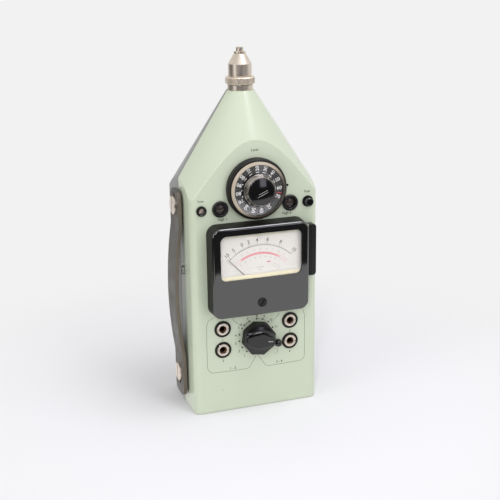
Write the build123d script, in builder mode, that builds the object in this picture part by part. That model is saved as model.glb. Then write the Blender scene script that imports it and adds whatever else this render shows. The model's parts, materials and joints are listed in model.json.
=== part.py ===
"""Hand-held precision sound level meter.

Two cast half shells close on a gasket and end in a conical neck, which clamps the input socket.
Everything that the hand turns or pushes sits on the front panel; the meter, the two rotary
switches, the circuit boards and the battery tray are carried inside.

Frame: millimetres, +Z up, the origin on the neck's axis at the base, the panel facing -Y.
Heights above the panel are called h and count outwards from the painted face.
"""

import math
import os

from build123d import *

# ---------------------------------------------------------------- driving sizes
# case
case_depth = 74.4
wall = 2.4
side_room = 5.8                 # between the battery tray and each side wall
corner_radius = 6.0
base_edge_radius = 2.0
roof_half_angle = 32.2          # of the conical roof, about the Z axis
roof_edge_radius = 1.2
shoulder_rise = 6.62            # of the roof's foot, above the range dial's centre
neck_rim = 1.18                 # of the neck's flat top, around the socket
neck_plate = 5.5                # thickness of the neck under its flat top
gasket_thickness = 0.8
gasket_inset = 0.5

# clearances
running_gap = 0.05              # radial, shaft in bush
slip_gap = 0.15                 # radial or per side, fixed piece in its hole
sliding_gap = 0.25              # per side, the scale in its grooves
seat_gap = 0.05                 # under a turning part on its seat

# shell screws and their bosses
shell_screw_radius = 1.5
shell_screw_head_radius = 2.9
shell_screw_head_height = 2.0
shell_boss_radius = 4.0
shell_boss_depth = 14.0         # of the front bosses, from the seam
shell_screw_inset = 6.0         # from the side of the case
shell_screw_rise = 12.0         # of the lower pair, above the battery cover
shell_screw_drop = 42.12        # of the upper pair, below the roof's foot

# range dial
dial_gap = 2.2                  # between the meter and the dial
range_index_gap = 3.0           # from the dial's edge
range_index_radius = 1.0
range_index_height = 0.9
dial_radius = 27.5
dial_height = 8.0
dial_lift = 0.8                 # clearance under the skirt
dial_bevel = 1.6
dial_rim = 2.0
ring_outer_radius = 22.0
ring_inner_radius = 15.0
ring_thickness = 0.6
disc_radius = 25.0
disc_top = 12.0
disc_bevel = 2.4
disc_edge = 1.4
disc_lift = 0.25                # clearance over the dial
trim_edge = 0.4                 # height of the bright cone's foot
trim_outer_radius = 14.8
trim_top = 17.2
cap_radius = 12.1
cap_top = 18.4
cap_crown = 0.8

# concentric shafts and their bushes, the same on both switches
bush_radius = 5.0
range_bush_height = 5.8         # above the panel
selector_bush_height = 0.2
bush_nut_radius = 7.0
bush_nut_height = 2.0
outer_shaft_radius = 3.9
inner_shaft_radius = 2.4
switch_plate_radius = 17.0
switch_plate_thickness = 1.6
switch_wafer_radius = 15.5
switch_wafer_thickness = 1.6
switch_wafers = 3
switch_depth = 26.0             # behind the panel's inner face
switch_pillar_radius = 1.6
switch_pillar_reach = 13.0
outer_shaft_depth = 20.0        # below the panel's face
inner_shaft_depth = 25.0

# selector
selector_z = 71.0
knob_flats = 29.4               # across the flats of the eight-sided skirt
knob_lift = 2.0
knob_skirt_top = 9.8
knob_top = 15.0
knob_angle = -8.6               # of the grip's index end, from +X
knob_waist = 11.2               # where the hollowed flanks change slope
waist_length = 28.0
waist_width = 17.6
waist_end_width = 10.4
grip_length = 27.0
grip_width = 12.8
grip_end_width = 5.6
grip_crest = 2.0                # length of the straight part at the middle
lever_gap = 0.8                 # between the lever's ball and what it sweeps past
lever_angle = -22.5             # at rest, from +X
lever_ball_radius = 3.7
lever_ball_reach = 21.5
lever_ball_height = 4.1         # of its centre
lever_plate = 1.2
lever_width = 4.0
lever_disc_radius = 12.0

# meter
bezel_width = 92.4
bezel_height = 84.8
bezel_proud = 16.5
bezel_corner_radius = 9.0
bezel_edge_radius = 2.4
bezel_draft = 2.6
bezel_front_wall = 1.6
bezel_side_wall = 4.8
bezel_end_wall = 4.4
pocket_corner_radius = 3.0
window_side_lip = 3.3
window_top_lip = 3.5
window_rise = 31.4              # of the window, above the pocket's lower end
window_corner_radius = 5.5
pane_margin = 2.0
pane_thickness = 1.2
pivot_rise = 18.6               # above the pocket's lower end
pointer_h = 12.7                # underside of the pointer
pointer_thickness = 0.3
pointer_length = 44.5
pointer_root_width = 1.0
pointer_tip_width = 0.25
pointer_tail = 4.5
pointer_rest_angle = 44.0       # anticlockwise of straight up
zero_rise = 8.2                 # above the pocket's lower end
zero_head_radius = 4.25
zero_head_proud = 0.6
zero_head_height = 1.6
zero_stem_radius = 1.6
zero_stem_length = 6.5
zero_seat = 1.0                 # thickening behind the front wall
zero_slot_angle = 60.0
housing_depth = 16.0            # behind the panel's outer face
housing_wall = 2.0
housing_corner_radius = 5.0
magnet_radius = 15.5
magnet_length = 15.0
core_length = 12.0
core_web = 3.0
core_radius = 7.6
coil_gap = 3.6                  # radial gap in which the coil turns
coil_wire = 1.6
coil_clearance = 0.9
coil_width = 3.2
spindle_radius = 0.8
hub_radius = 2.0

# interchangeable scale
scale_front_h = 11.9
scale_thickness = 1.2
scale_below_window = 3.2
scale_top_room = 1.4            # in the pocket
groove_depth = 1.8
tongue_back_h = 3.2
tongue_width = 4.6
tongue_room = 1.0
grip_below_scale = 3.1
grip_top_drop = 1.0
grip_out = 9.0                  # beyond the bezel's side
grip_back_h = 1.6
grip_front_h = 8.4
grip_corner_radius = 3.0
grip_rib_pitch = 1.5
grip_rib_depth = 0.4

# lamps, gain adjuster, reset button
lamp_side = 5.4                 # beyond the dial's edge
lamp_drop = 16.4                # below the dial's centre
lamp_flange_radius = 7.35
lamp_flange_height = 2.5
lamp_body_radius = 5.9
lamp_wall = 1.1
lamp_depth = 13.0
lamp_step = 0.6
lens_crown = 1.0
lens_thickness = 1.6
lens_seat_h = -1.2
bulb_base_radius = 3.2
bulb_base_height = 4.5
bulb_globe_radius = 2.5
bulb_globe_height = 4.0
small_control_drop = 16.7       # below the dial's centre
gain_flange_radius = 4.65
gain_flange_height = 1.6
gain_body_radius = 3.6
gain_shaft_radius = 2.2
gain_depth = 12.0
gain_shaft_proud = 0.5
gain_case_radius = 5.4
small_case_h = -5.0             # where the gain and reset cases begin, clear of the corner
button_radius = 3.9
button_proud = 6.0
button_travel = 3.0
button_edge = 0.8
button_bush_radius = 4.8
button_collar_radius = 5.2
button_collar_height = 0.8
button_stem = 12.0              # below the panel's face
reset_switch_radius = 5.6
reset_switch_depth = 18.0

# sockets
jack_rises = (11.4, -9.0)       # above the selector's centre
jack_gap = 1.0                  # between the lever's ball and a socket's ring
jack_ring_radius = 7.8
jack_ring_height = 1.4
jack_body_radius = 6.8
jack_depth = 16.0               # behind the panel's inner face
jack_nut_radius = 5.85
jack_nut_bore = 3.4
jack_nut_height = 1.2
jack_bore_radius = 2.65
jack_bore_depth = 12.0          # from the ring's face
jack_contact_radius = 2.0
jack_contact_height = 4.0
jack_tail_radius = 0.9
jack_tail = 3.0                 # out of the back

# input socket and microphone adaptor, on the neck's axis
socket_radius = 11.35
socket_stub_radius = 8.8
socket_thread_radius = 9.0
socket_nut_radius = 12.6
socket_nut_height = 3.0
socket_flange = 4.5             # above the neck
coupling_radius = 13.15
coupling_lift = 0.6             # above the socket's flange
coupling_height = 6.6
coupling_edge = 0.9
spigot_radius = 9.4
spigot_height = 4.0
socket_bore_radius = 4.0
socket_foot_depth = 9.5         # of the stub, below the neck's top
preamplifier_length = 40.0
preamplifier_edge = 1.0
adaptor_flange_radius = 10.9
adaptor_flange = 1.3
adaptor_throat_radius = 9.6
adaptor_collar_radius = 5.3
adaptor_radius = 10.5
adaptor_lift = 1.0              # above the coupling ring
adaptor_barrel = 10.1
adaptor_cone = 8.7
adaptor_neck_radius = 5.55
adaptor_groove = 0.45
adaptor_collar = 1.6
tip_radius = 3.25
tip_length = 8.6
tip_proud = 3.55                # of the adaptor's collar
tip_slot = 0.8
tip_slot_depth = 1.6
tip_slot_turn = -27.0
tip_stem_radius = 2.9
insulator_radius = 1.9
insulator_below_tip = 1.6
pin_radius = 0.7
pin_below_tip = 0.6

# hand strap
strap_y = -3.2
strap_width = 27.0
strap_thickness = 3.4
strap_low_z = 10.0
strap_top_drop = 9.12           # below the roof's foot
strap_low_end = 22.0            # beyond the lower screw
strap_high_end = 15.0           # beyond the upper screw
strap_bow = 5.0                 # how far the middle stands out beyond the ends
strap_screw_radius = 8.5
strap_screw_head = 2.2
strap_shank_radius = 2.0
strap_shank_depth = 6.0         # inside the wall
strap_spacer_radius = 7.0
strap_spacer_thickness = 2.0
strap_slot_length = 15.0
strap_slot_width = 5.2
strap_slot_shift = 4.5          # of the slot's middle, towards the strap's end
strap_flat = 18.0               # from a screw to where the bow begins
screw_slot = 0.9
side_stud_y = -9.0
side_stud_z = 134.0
side_stud_radius = 4.25
side_stud_height = 2.2

# batteries and boards
cell_radius = 16.5
cell_length = 59.5
cell_nipple_radius = 4.6
cell_nipple_height = 1.6
cell_spacing = 0.6
cell_gap = 0.3
cell_y = 14.0
tray_wall = 1.4
tray_depth = 22.0
contact_thickness = 0.5
cover_side_lap = 0.2
cover_low_z = 6.0
cover_over_tray = 10.55
cover_ledge = 1.2
cover_ledge_top = 11.0
cover_ledge_thickness = 1.4
cover_corner_radius = 4.0
cover_screw_side = 12.0         # from the cover's side
cover_screw_inset = 5.5
cover_screw_radius = 4.2
cover_shank_radius = 1.9
cover_grip_pitch = 4.0
tripod_rise = 34.0              # above the battery cover
tripod_radius = 8.0
tripod_hole_radius = 2.55       # the minor radius of a quarter-inch camera thread
tripod_hole_length = 10.0
tripod_length = 13.0
tripod_flange = 2.0
tripod_flange_radius = 10.0
tripod_chamfer = 0.6
cover_screw_head = 1.6
cover_shank_depth = 8.0
cover_grips = 5
cover_grip_length = 30.0
cover_hook_length = 40.0
hook_thickness = 1.0
chassis_y = 3.0
chassis_thickness = 1.5
chassis_side_room = 8.6         # to each side wall
chassis_rise = 6.0              # above the battery cover
chassis_drop = 26.12            # below the roof's foot
pillar_radius = 2.6
pillar_side = 3.5               # from the chassis's side
pillar_rise = 9.0               # from the chassis's lower end
pillar_drop = 5.0               # from its upper end
board_gap = 6.0
board_thickness = 1.6
board_inset = 2.0               # from the chassis's ends
board_side = 2.5                # from its sides
board_middle_gap = 5.0
post_radius = 2.4
post_inset = 5.0
can_radius = 5.0
can_height = 9.0
can_rows = 4
can_pitch = 22.0
chip_height = 4.0

# ---------------------------------------------------------------- worked-out places
cell_pitch = 2 * cell_radius + cell_spacing
tray_width = 3 * cell_pitch + 2 * tray_wall
case_width = tray_width + 2 * side_room + 2 * wall
side_x = case_width / 2
panel_y = -case_depth / 2
panel_in = -wall                # h of the panel's inner face
seam = gasket_thickness / 2

# up the panel: selector, meter, range dial, roof
bezel_low_z = selector_z + lever_ball_reach + lever_ball_radius + lever_gap
bezel_z = bezel_low_z + bezel_height / 2
range_z = bezel_low_z + bezel_height + dial_gap + dial_radius
shoulder_z = range_z + shoulder_rise
roof_slope = 1 / math.tan(math.radians(roof_half_angle))
roof_apex_z = shoulder_z + side_x * roof_slope
neck_radius = socket_radius + neck_rim
neck_top_z = roof_apex_z - neck_radius * roof_slope
range_index_x = dial_radius + range_index_gap
lamp_x = dial_radius + lamp_side
lamp_z = range_z - lamp_drop
small_control_x = (lamp_x + lamp_flange_radius + side_x) / 2
small_control_z = range_z - small_control_drop
jack_reach = lever_ball_reach + lever_ball_radius + jack_gap + jack_ring_radius
jack_x = math.sqrt(jack_reach ** 2 - min(rise ** 2 for rise in jack_rises))
jack_zs = tuple(selector_z + rise for rise in jack_rises)
boss_x = side_x - shell_screw_inset

# the meter's pocket, window and scale
cavity_front_h = bezel_proud - bezel_front_wall
pocket_width = bezel_width - 2 * bezel_side_wall
pocket_height = bezel_height - 2 * bezel_end_wall
pocket_z = bezel_z
pocket_low_z = pocket_z - pocket_height / 2
pocket_high_z = pocket_z + pocket_height / 2
window_width = pocket_width - 2 * window_side_lip
window_low_z = pocket_low_z + window_rise
window_high_z = pocket_high_z - window_top_lip
pivot_z = pocket_low_z + pivot_rise
zero_z = pocket_low_z + zero_rise
scale_low_z = window_low_z - scale_below_window
scale_high_z = pocket_high_z - scale_top_room
grip_low_z = scale_low_z - grip_below_scale
grip_high_z = scale_high_z - grip_top_drop
housing_width = pocket_width + 2 * housing_wall
housing_height = pocket_height + 2 * housing_wall
window_z = (window_low_z + window_high_z) / 2
window_height = window_high_z - window_low_z
scale_z = (scale_low_z + scale_high_z) / 2
scale_height = scale_high_z - scale_low_z
scale_back_h = scale_front_h - scale_thickness
scale_grip_x = bezel_width / 2 + sliding_gap
tongue_x = scale_grip_x - tongue_width - sliding_gap - tongue_room
grip_z = (grip_low_z + grip_high_z) / 2
grip_ribs = 3
zero_seat_h = bezel_proud + zero_head_proud - zero_head_height
core_front_h = housing_wall - housing_depth + magnet_length
core_middle_h = core_front_h - core_length / 2
coil_front_h = core_front_h + coil_clearance + coil_wire
shell_head_sunk = shell_screw_head_height + slip_gap

# behind: the battery tray, its cover and what stands above them
tray_low_z = wall + running_gap
tray_front_y = cell_y - cell_radius - cell_gap - tray_wall
tray_back_y = tray_front_y + tray_depth
cell_low_z = tray_low_z + tray_wall + contact_thickness + running_gap
tray_high_z = (
    cell_low_z + cell_length + cell_nipple_height + running_gap + contact_thickness + tray_wall
)
cover_width = tray_width + 2 * cover_side_lap
cover_high_z = tray_high_z + cover_over_tray
cover_screw_x = cover_width / 2 - cover_screw_side
tripod_z = cover_high_z + tripod_rise
shell_screw_zs = (cover_high_z + shell_screw_rise, shoulder_z - shell_screw_drop)
cover_z = (cover_low_z + cover_high_z) / 2
cover_height = cover_high_z - cover_low_z
cover_screw_z = cover_high_z - cover_screw_inset
hatch_low_z = cover_low_z + cover_ledge
hatch_high_z = cover_high_z - cover_ledge_top
hatch_z = (hatch_low_z + hatch_high_z) / 2
hatch_height = hatch_high_z - hatch_low_z
ledge_y = case_depth / 2 - wall
hook_y = ledge_y - cover_ledge_thickness - slip_gap
hook_z = hatch_low_z + slip_gap

# up the neck's axis
socket_foot_z = neck_top_z - socket_foot_depth
socket_flange_top = neck_top_z + socket_flange
spigot_top_z = socket_flange_top + spigot_height
coupling_low_z = socket_flange_top + coupling_lift
coupling_high_z = coupling_low_z + coupling_height
adaptor_flange_z = spigot_top_z + seat_gap
adaptor_low_z = coupling_high_z + adaptor_lift
adaptor_shoulder_z = adaptor_low_z + adaptor_barrel
adaptor_neck_z = adaptor_shoulder_z + adaptor_cone
collar_top_z = adaptor_neck_z + adaptor_groove + adaptor_collar
tip_top_z = collar_top_z + tip_proud
tip_low_z = tip_top_z - tip_length
insulator_top_z = tip_top_z - insulator_below_tip
pin_top_z = tip_top_z - pin_below_tip

# small parts
jack_bore_foot = jack_ring_height - jack_bore_depth
jack_contact_foot = jack_bore_foot - jack_contact_height
disc_low = dial_height + disc_lift

# chassis and boards
chassis_width = case_width - 2 * wall - 2 * chassis_side_room
chassis_low_z = cover_high_z + chassis_rise
chassis_high_z = shoulder_z - chassis_drop
pillar_x = chassis_width / 2 - pillar_side
pillar_zs = (chassis_low_z + pillar_rise, chassis_high_z - pillar_drop)
board_width = (chassis_width - board_middle_gap) / 2 - board_side
board_low_z = chassis_low_z + board_inset
board_high_z = chassis_high_z - board_inset
board_y = chassis_y + chassis_thickness + board_gap
post_places = [
    (way * (board_middle_gap / 2 + inset), z)
    for way in (-1, 1)
    for inset in (post_inset, board_width - post_inset)
    for z in (board_low_z + post_inset, board_high_z - post_inset)
]
lever_lift = selector_bush_height + slip_gap + running_gap
lever_top = lever_lift + lever_plate
strap_inner_x = -side_x - strap_spacer_thickness
strap_outer_x = strap_inner_x - strap_thickness
strap_high_z = shoulder_z - strap_top_drop
strap_screw_zs = (strap_low_z + strap_low_end, strap_high_z - strap_high_end)
strap_flat_zs = (strap_screw_zs[0] + strap_flat, strap_screw_zs[1] - strap_flat)


def on_panel(x, z, h=0.0, turn=0.0):
    """A plane on the panel at (x, z), h above it, facing out, turned anticlockwise from X."""
    angle = math.radians(turn)
    return Plane(
        origin=(x, panel_y - h, z), x_dir=(math.cos(angle), 0, math.sin(angle)), z_dir=(0, -1, 0)
    )


def on_left_side(y, z, out=0.0):
    """A plane on the case's left side, facing out, with its own Y up."""
    return Plane(origin=(-side_x - out, y, z), x_dir=(0, -1, 0), z_dir=(-1, 0, 0))


def on_back(x, z, out=0.0):
    """A plane on the case's back, facing out, with its own Y up."""
    return Plane(origin=(x, -panel_y + out, z), x_dir=(-1, 0, 0), z_dir=(0, 1, 0))


def disc(plane, radius, amount, mode=Mode.ADD):
    """A round boss, or with Mode.SUBTRACT a round hole, standing on a plane."""
    with BuildSketch(plane) as round_face:
        Circle(radius)
    extrude(round_face.sketch, amount=amount, mode=mode)


def turned(foot, *outline):
    """Turn a closed outline of (radius, height) points about the axis of the plane foot."""
    across = Plane(origin=foot.origin, x_dir=foot.x_dir, z_dir=-foot.y_dir)
    with BuildSketch(across) as half_section:
        with BuildLine():
            Polyline(*outline, close=True)
        make_face()
    revolve(half_section.sketch, axis=Axis(foot.origin, foot.z_dir))


def slot_across(plane, length, width, depth, angle=0.0):
    """A screwdriver slot, cut down from a plane."""
    with BuildSketch(plane) as slot:
        Rectangle(length, width, rotation=angle)
    extrude(slot.sketch, amount=-depth, mode=Mode.SUBTRACT)


def save(part, name):
    """Label a finished piece and write it."""
    part.label = name
    export_step(part, f"parts/{name}.step")


os.makedirs("parts", exist_ok=True)


# ---------------------------------------------------------------- case
def case_form(inset, floor_z, top_z, edge_radius):
    """The case's form drawn in by inset all round: a round-cornered box under a cone."""
    apex = roof_apex_z - inset / math.sin(math.radians(roof_half_angle))
    reach = case_width
    with BuildPart() as form:
        with BuildSketch(Plane.XY.offset(floor_z)):
            RectangleRounded(
                case_width - 2 * inset, case_depth - 2 * inset, corner_radius - inset
            )
        extrude(amount=top_z - floor_z)
        if edge_radius > 0:
            fillet(form.faces().sort_by(Axis.Z)[0].edges(), edge_radius)
        with BuildSketch(Plane.XZ):
            with BuildLine():
                Polyline(
                    (0, -reach), (reach, -reach), (reach, apex - reach * roof_slope),
                    (0, apex), close=True,
                )
            make_face()
        revolve(axis=Axis.Z, mode=Mode.INTERSECT)
        with BuildSketch(Plane.XY.offset(top_z)):
            Circle(reach)
        extrude(amount=reach, mode=Mode.SUBTRACT)
        if inset == 0 and roof_edge_radius > 0:
            fillet(form.edges().filter_by(GeomType.HYPERBOLA), roof_edge_radius)
    return form.part


def neck_hole():
    """The hole through the neck that takes the input socket."""
    disc(Plane.XY.offset(neck_top_z), socket_stub_radius + slip_gap, -2 * neck_plate, Mode.SUBTRACT)


outer_form = case_form(0, 0, neck_top_z, base_edge_radius)
inner_form = case_form(wall, wall, neck_top_z - neck_plate, 0)
# the gasket is sunk all round, and flush under the base
gasket_form = case_form(gasket_inset, 0, neck_top_z - gasket_inset, base_edge_radius)

with BuildPart() as front_shell:
    add(outer_form)
    add(inner_form, mode=Mode.SUBTRACT)
    split(bisect_by=Plane.XZ.offset(seam), keep=Keep.TOP)
    # bosses that take the shell screws, on the side walls at the seam
    for x in (-boss_x, boss_x):
        for z in shell_screw_zs:
            seam_point = Plane(origin=(x, -seam, z), x_dir=(1, 0, 0), z_dir=(0, -1, 0))
            disc(seam_point, shell_boss_radius, shell_boss_depth)
            disc(seam_point, shell_screw_radius + running_gap, shell_boss_depth - wall, Mode.SUBTRACT)
    # bosses behind the strap screws
    for z in strap_screw_zs:
        disc(on_left_side(strap_y, z, -wall / 2), -strap_y - seam, -strap_shank_depth)
        disc(on_left_side(strap_y, z), strap_shank_radius + slip_gap, -case_width / 4, Mode.SUBTRACT)
    disc(on_left_side(side_stud_y, side_stud_z), strap_shank_radius + slip_gap, -2 * wall, Mode.SUBTRACT)
    # the panel's openings
    with BuildSketch(on_panel(0, pocket_z)):
        RectangleRounded(housing_width + 2 * slip_gap, housing_height + 2 * slip_gap, housing_corner_radius)
    extrude(amount=-2 * wall, mode=Mode.SUBTRACT)
    for z in (range_z, selector_z):
        disc(on_panel(0, z), bush_radius + slip_gap, -2 * wall, Mode.SUBTRACT)
    for x in (-lamp_x, lamp_x):
        disc(on_panel(x, lamp_z), lamp_body_radius + slip_gap, -2 * wall, Mode.SUBTRACT)
    disc(on_panel(-small_control_x, small_control_z), gain_body_radius + slip_gap, -2 * wall, Mode.SUBTRACT)
    disc(on_panel(small_control_x, small_control_z), button_bush_radius + slip_gap, -2 * wall, Mode.SUBTRACT)
    for x in (-jack_x, jack_x):
        for z in jack_zs:
            disc(on_panel(x, z), jack_body_radius + slip_gap, -2 * wall, Mode.SUBTRACT)
    disc(on_panel(range_index_x, range_z), range_index_radius, -wall, Mode.SUBTRACT)
    neck_hole()

with BuildPart() as rear_shell:
    add(outer_form)
    add(inner_form, mode=Mode.SUBTRACT)
    split(bisect_by=Plane.XZ.offset(-seam), keep=Keep.BOTTOM)
    for x in (-boss_x, boss_x):
        for z in shell_screw_zs:
            disc(on_back(x, z, -wall), shell_boss_radius, seam + wall - case_depth / 2)
            disc(on_back(x, z), shell_screw_radius + slip_gap, -case_depth / 2, Mode.SUBTRACT)
            disc(on_back(x, z), shell_screw_head_radius + slip_gap, -shell_head_sunk, Mode.SUBTRACT)
    # the battery opening: a recess for the cover's thickness and a ledge behind it
    with BuildSketch(on_back(0, cover_z, -wall)):
        RectangleRounded(cover_width + 4 * cover_ledge, cover_height + 2 * cover_ledge, cover_corner_radius)
    extrude(amount=-cover_ledge_thickness)
    with BuildSketch(on_back(0, cover_z)):
        RectangleRounded(cover_width + 2 * slip_gap, cover_height + 2 * slip_gap, cover_corner_radius)
    extrude(amount=-wall, mode=Mode.SUBTRACT)
    with BuildSketch(on_back(0, hatch_z)):
        RectangleRounded(cover_width - 2 * cover_ledge, hatch_height, cover_corner_radius)
    extrude(amount=-2 * wall, mode=Mode.SUBTRACT)
    for x in (-cover_screw_x, cover_screw_x):
        disc(on_back(x, cover_screw_z, -wall), cover_screw_radius, -cover_shank_depth)
        disc(on_back(x, cover_screw_z), cover_shank_radius + slip_gap, -2 * cover_shank_depth, Mode.SUBTRACT)
    # the tripod bush's boss
    disc(on_back(0, tripod_z, -wall), tripod_flange_radius, tripod_flange - tripod_length + wall)
    disc(on_back(0, tripod_z), tripod_radius + slip_gap, -tripod_length, Mode.SUBTRACT)
    neck_hole()

with BuildPart() as seam_gasket:
    add(gasket_form)
    add(inner_form, mode=Mode.SUBTRACT)
    split(bisect_by=Plane.XZ.offset(seam), keep=Keep.BOTTOM)
    split(bisect_by=Plane.XZ.offset(-seam), keep=Keep.TOP)
    neck_hole()

with BuildPart() as shell_screws:
    for x in (-boss_x, boss_x):
        for z in shell_screw_zs:
            seat = on_back(x, z, -shell_head_sunk)
            disc(seat, shell_screw_head_radius, shell_screw_head_height)
            disc(seat, shell_screw_radius, -(case_depth / 2 - shell_head_sunk + shell_boss_depth / 2))
            slot_across(
                on_back(x, z, shell_screw_head_height - shell_head_sunk),
                2 * shell_screw_head_radius, screw_slot, screw_slot,
            )

with BuildPart() as battery_cover:
    with BuildSketch(on_back(0, cover_z, -wall)):
        RectangleRounded(cover_width, cover_height, cover_corner_radius)
    extrude(amount=wall)
    # finger ribs cut across the middle
    with BuildSketch(on_back(0, cover_z)):
        with GridLocations(0, cover_grip_pitch, 1, cover_grips):
            SlotOverall(cover_grip_length, cover_grip_pitch / 2)
    extrude(amount=-wall / 3, mode=Mode.SUBTRACT)
    for x in (-cover_screw_x, cover_screw_x):
        disc(on_back(x, cover_screw_z), cover_screw_radius + slip_gap, -cover_screw_head, Mode.SUBTRACT)
        disc(on_back(x, cover_screw_z), cover_shank_radius + slip_gap, -wall, Mode.SUBTRACT)
    # the lower edge hooks behind the ledge
    with BuildSketch(Plane.YZ.offset(-cover_hook_length / 2)):
        with BuildLine():
            Polyline(
                (ledge_y, hook_z), (ledge_y, hook_z + hook_thickness),
                (hook_y - hook_thickness, hook_z + hook_thickness),
                (hook_y - hook_thickness, hook_z - 2 * hook_thickness),
                (hook_y, hook_z - 2 * hook_thickness), (hook_y, hook_z), close=True,
            )
        make_face()
    extrude(amount=cover_hook_length)

with BuildPart() as cover_screws:
    for x in (-cover_screw_x, cover_screw_x):
        seat = on_back(x, cover_screw_z, -cover_screw_head)
        disc(seat, cover_screw_radius, cover_screw_head)
        disc(seat, cover_shank_radius, cover_screw_head - wall - cover_shank_depth)
        slot_across(on_back(x, cover_screw_z), 2 * cover_screw_radius, 1.5 * screw_slot, screw_slot)

with BuildPart() as tripod_bush:
    disc(on_back(0, tripod_z), tripod_radius, -tripod_length)
    disc(on_back(0, tripod_z, tripod_flange - tripod_length), tripod_flange_radius, -tripod_flange)
    disc(on_back(0, tripod_z), tripod_hole_radius, -tripod_hole_length, Mode.SUBTRACT)
    chamfer(
        tripod_bush.faces().sort_by(Axis.Y)[-1].edges().sort_by(SortBy.RADIUS)[0], tripod_chamfer
    )

# ---------------------------------------------------------------- hand strap
with BuildPart() as strap:
    # the side view: flat ends on the spacers, a bowed middle, the same thickness all along
    with BuildSketch(Plane.XZ.offset(-strap_y - strap_width / 2)):
        with BuildLine():
            low, high = strap_flat_zs
            mid = (low + high) / 2
            Line((strap_inner_x, strap_low_z), (strap_inner_x, low))
            ThreePointArc((strap_inner_x, low), (strap_inner_x - strap_bow, mid), (strap_inner_x, high))
            Line((strap_inner_x, high), (strap_inner_x, strap_high_z))
            Line((strap_inner_x, strap_high_z), (strap_outer_x, strap_high_z))
            Line((strap_outer_x, strap_high_z), (strap_outer_x, high))
            ThreePointArc((strap_outer_x, high), (strap_outer_x - strap_bow, mid), (strap_outer_x, low))
            Line((strap_outer_x, low), (strap_outer_x, strap_low_z))
            Line((strap_outer_x, strap_low_z), (strap_inner_x, strap_low_z))
        make_face()
    extrude(amount=strap_width)
    end_corners = strap.edges().filter_by(Axis.X)
    fillet(end_corners, strap_width / 2 - strap_thickness)
    for z, way in zip(strap_screw_zs, (-1, 1)):
        with BuildSketch(on_left_side(strap_y, z + way * strap_slot_shift, strap_spacer_thickness)):
            SlotOverall(strap_slot_length, strap_slot_width, rotation=90)
        extrude(amount=strap_thickness, mode=Mode.SUBTRACT)

with BuildPart() as strap_spacers:
    for z in strap_screw_zs:
        disc(on_left_side(strap_y, z), strap_spacer_radius, strap_spacer_thickness)
        disc(
            on_left_side(strap_y, z), strap_shank_radius + slip_gap, strap_spacer_thickness, Mode.SUBTRACT
        )

with BuildPart() as strap_screws:
    for z in strap_screw_zs:
        seat = on_left_side(strap_y, z, strap_spacer_thickness + strap_thickness)
        disc(seat, strap_screw_radius, strap_screw_head)
        disc(seat, strap_shank_radius, -(strap_spacer_thickness + strap_thickness + strap_shank_depth))
        slot_across(seat.offset(strap_screw_head), 2 * strap_screw_radius, 2 * screw_slot, screw_slot, 90)
    rims = strap_screws.faces().filter_by(Axis.X).group_by(Axis.X)[0].edges().filter_by(GeomType.CIRCLE)
    chamfer(rims, screw_slot / 2)

with BuildPart() as side_stud:
    disc(on_left_side(side_stud_y, side_stud_z), side_stud_radius, side_stud_height)
    disc(on_left_side(side_stud_y, side_stud_z), strap_shank_radius, -strap_shank_depth)
    stud_front = on_left_side(side_stud_y, side_stud_z, side_stud_height)
    slot_across(stud_front, 2 * side_stud_radius, screw_slot, screw_slot, 90)

# ---------------------------------------------------------------- input socket and adaptor
axis_foot = Plane.XY

with BuildPart() as input_socket:
    turned(
        axis_foot,
        (socket_bore_radius, socket_foot_z), (socket_stub_radius, socket_foot_z),
        (socket_stub_radius, neck_top_z), (socket_radius, neck_top_z),
        (socket_radius, socket_flange_top), (spigot_radius, socket_flange_top),
        (spigot_radius, spigot_top_z), (socket_bore_radius, spigot_top_z),
    )

with BuildPart() as socket_nut:
    with BuildSketch(Plane.XY.offset(neck_top_z - neck_plate)):
        RegularPolygon(socket_nut_radius, 6)
        Circle(socket_stub_radius + slip_gap, mode=Mode.SUBTRACT)
    extrude(amount=-socket_nut_height)

with BuildPart() as preamplifier:
    with BuildSketch(Plane.XY.offset(socket_foot_z)):
        Circle(socket_stub_radius)
    extrude(amount=-preamplifier_length)
    chamfer(preamplifier.faces().sort_by(Axis.Z)[0].edges(), preamplifier_edge)

with BuildPart() as coupling_ring:
    turned(
        axis_foot,
        (spigot_radius + running_gap, coupling_low_z), (coupling_radius, coupling_low_z),
        (coupling_radius, coupling_high_z), (adaptor_throat_radius + slip_gap, coupling_high_z),
        (adaptor_throat_radius + slip_gap, adaptor_flange_z + adaptor_flange + seat_gap),
        (adaptor_flange_radius + slip_gap, adaptor_flange_z + adaptor_flange + seat_gap),
        (adaptor_flange_radius + slip_gap, spigot_top_z), (spigot_radius + running_gap, spigot_top_z),
    )
    rims = coupling_ring.edges().filter_by(GeomType.CIRCLE).filter_by(
        lambda e: abs(e.radius - coupling_radius) < 1e-3
    )
    chamfer(rims, coupling_edge)

with BuildPart() as adaptor_body:
    turned(
        axis_foot,
        (tip_stem_radius + slip_gap, tip_low_z), (tip_stem_radius + slip_gap, collar_top_z),
        (adaptor_collar_radius, collar_top_z), (adaptor_collar_radius, adaptor_neck_z + adaptor_groove),
        (adaptor_collar_radius - adaptor_groove, adaptor_neck_z + adaptor_groove),
        (adaptor_collar_radius - adaptor_groove, adaptor_neck_z), (adaptor_neck_radius, adaptor_neck_z),
        (adaptor_radius, adaptor_shoulder_z), (adaptor_radius, adaptor_low_z),
        (adaptor_throat_radius, adaptor_low_z), (adaptor_throat_radius, adaptor_flange_z + adaptor_flange),
        (adaptor_flange_radius, adaptor_flange_z + adaptor_flange), (adaptor_flange_radius, adaptor_flange_z),
        (socket_bore_radius, adaptor_flange_z), (socket_bore_radius, tip_low_z - 2 * adaptor_flange),
        (0, tip_low_z - adaptor_flange), (0, tip_low_z),
    )

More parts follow.
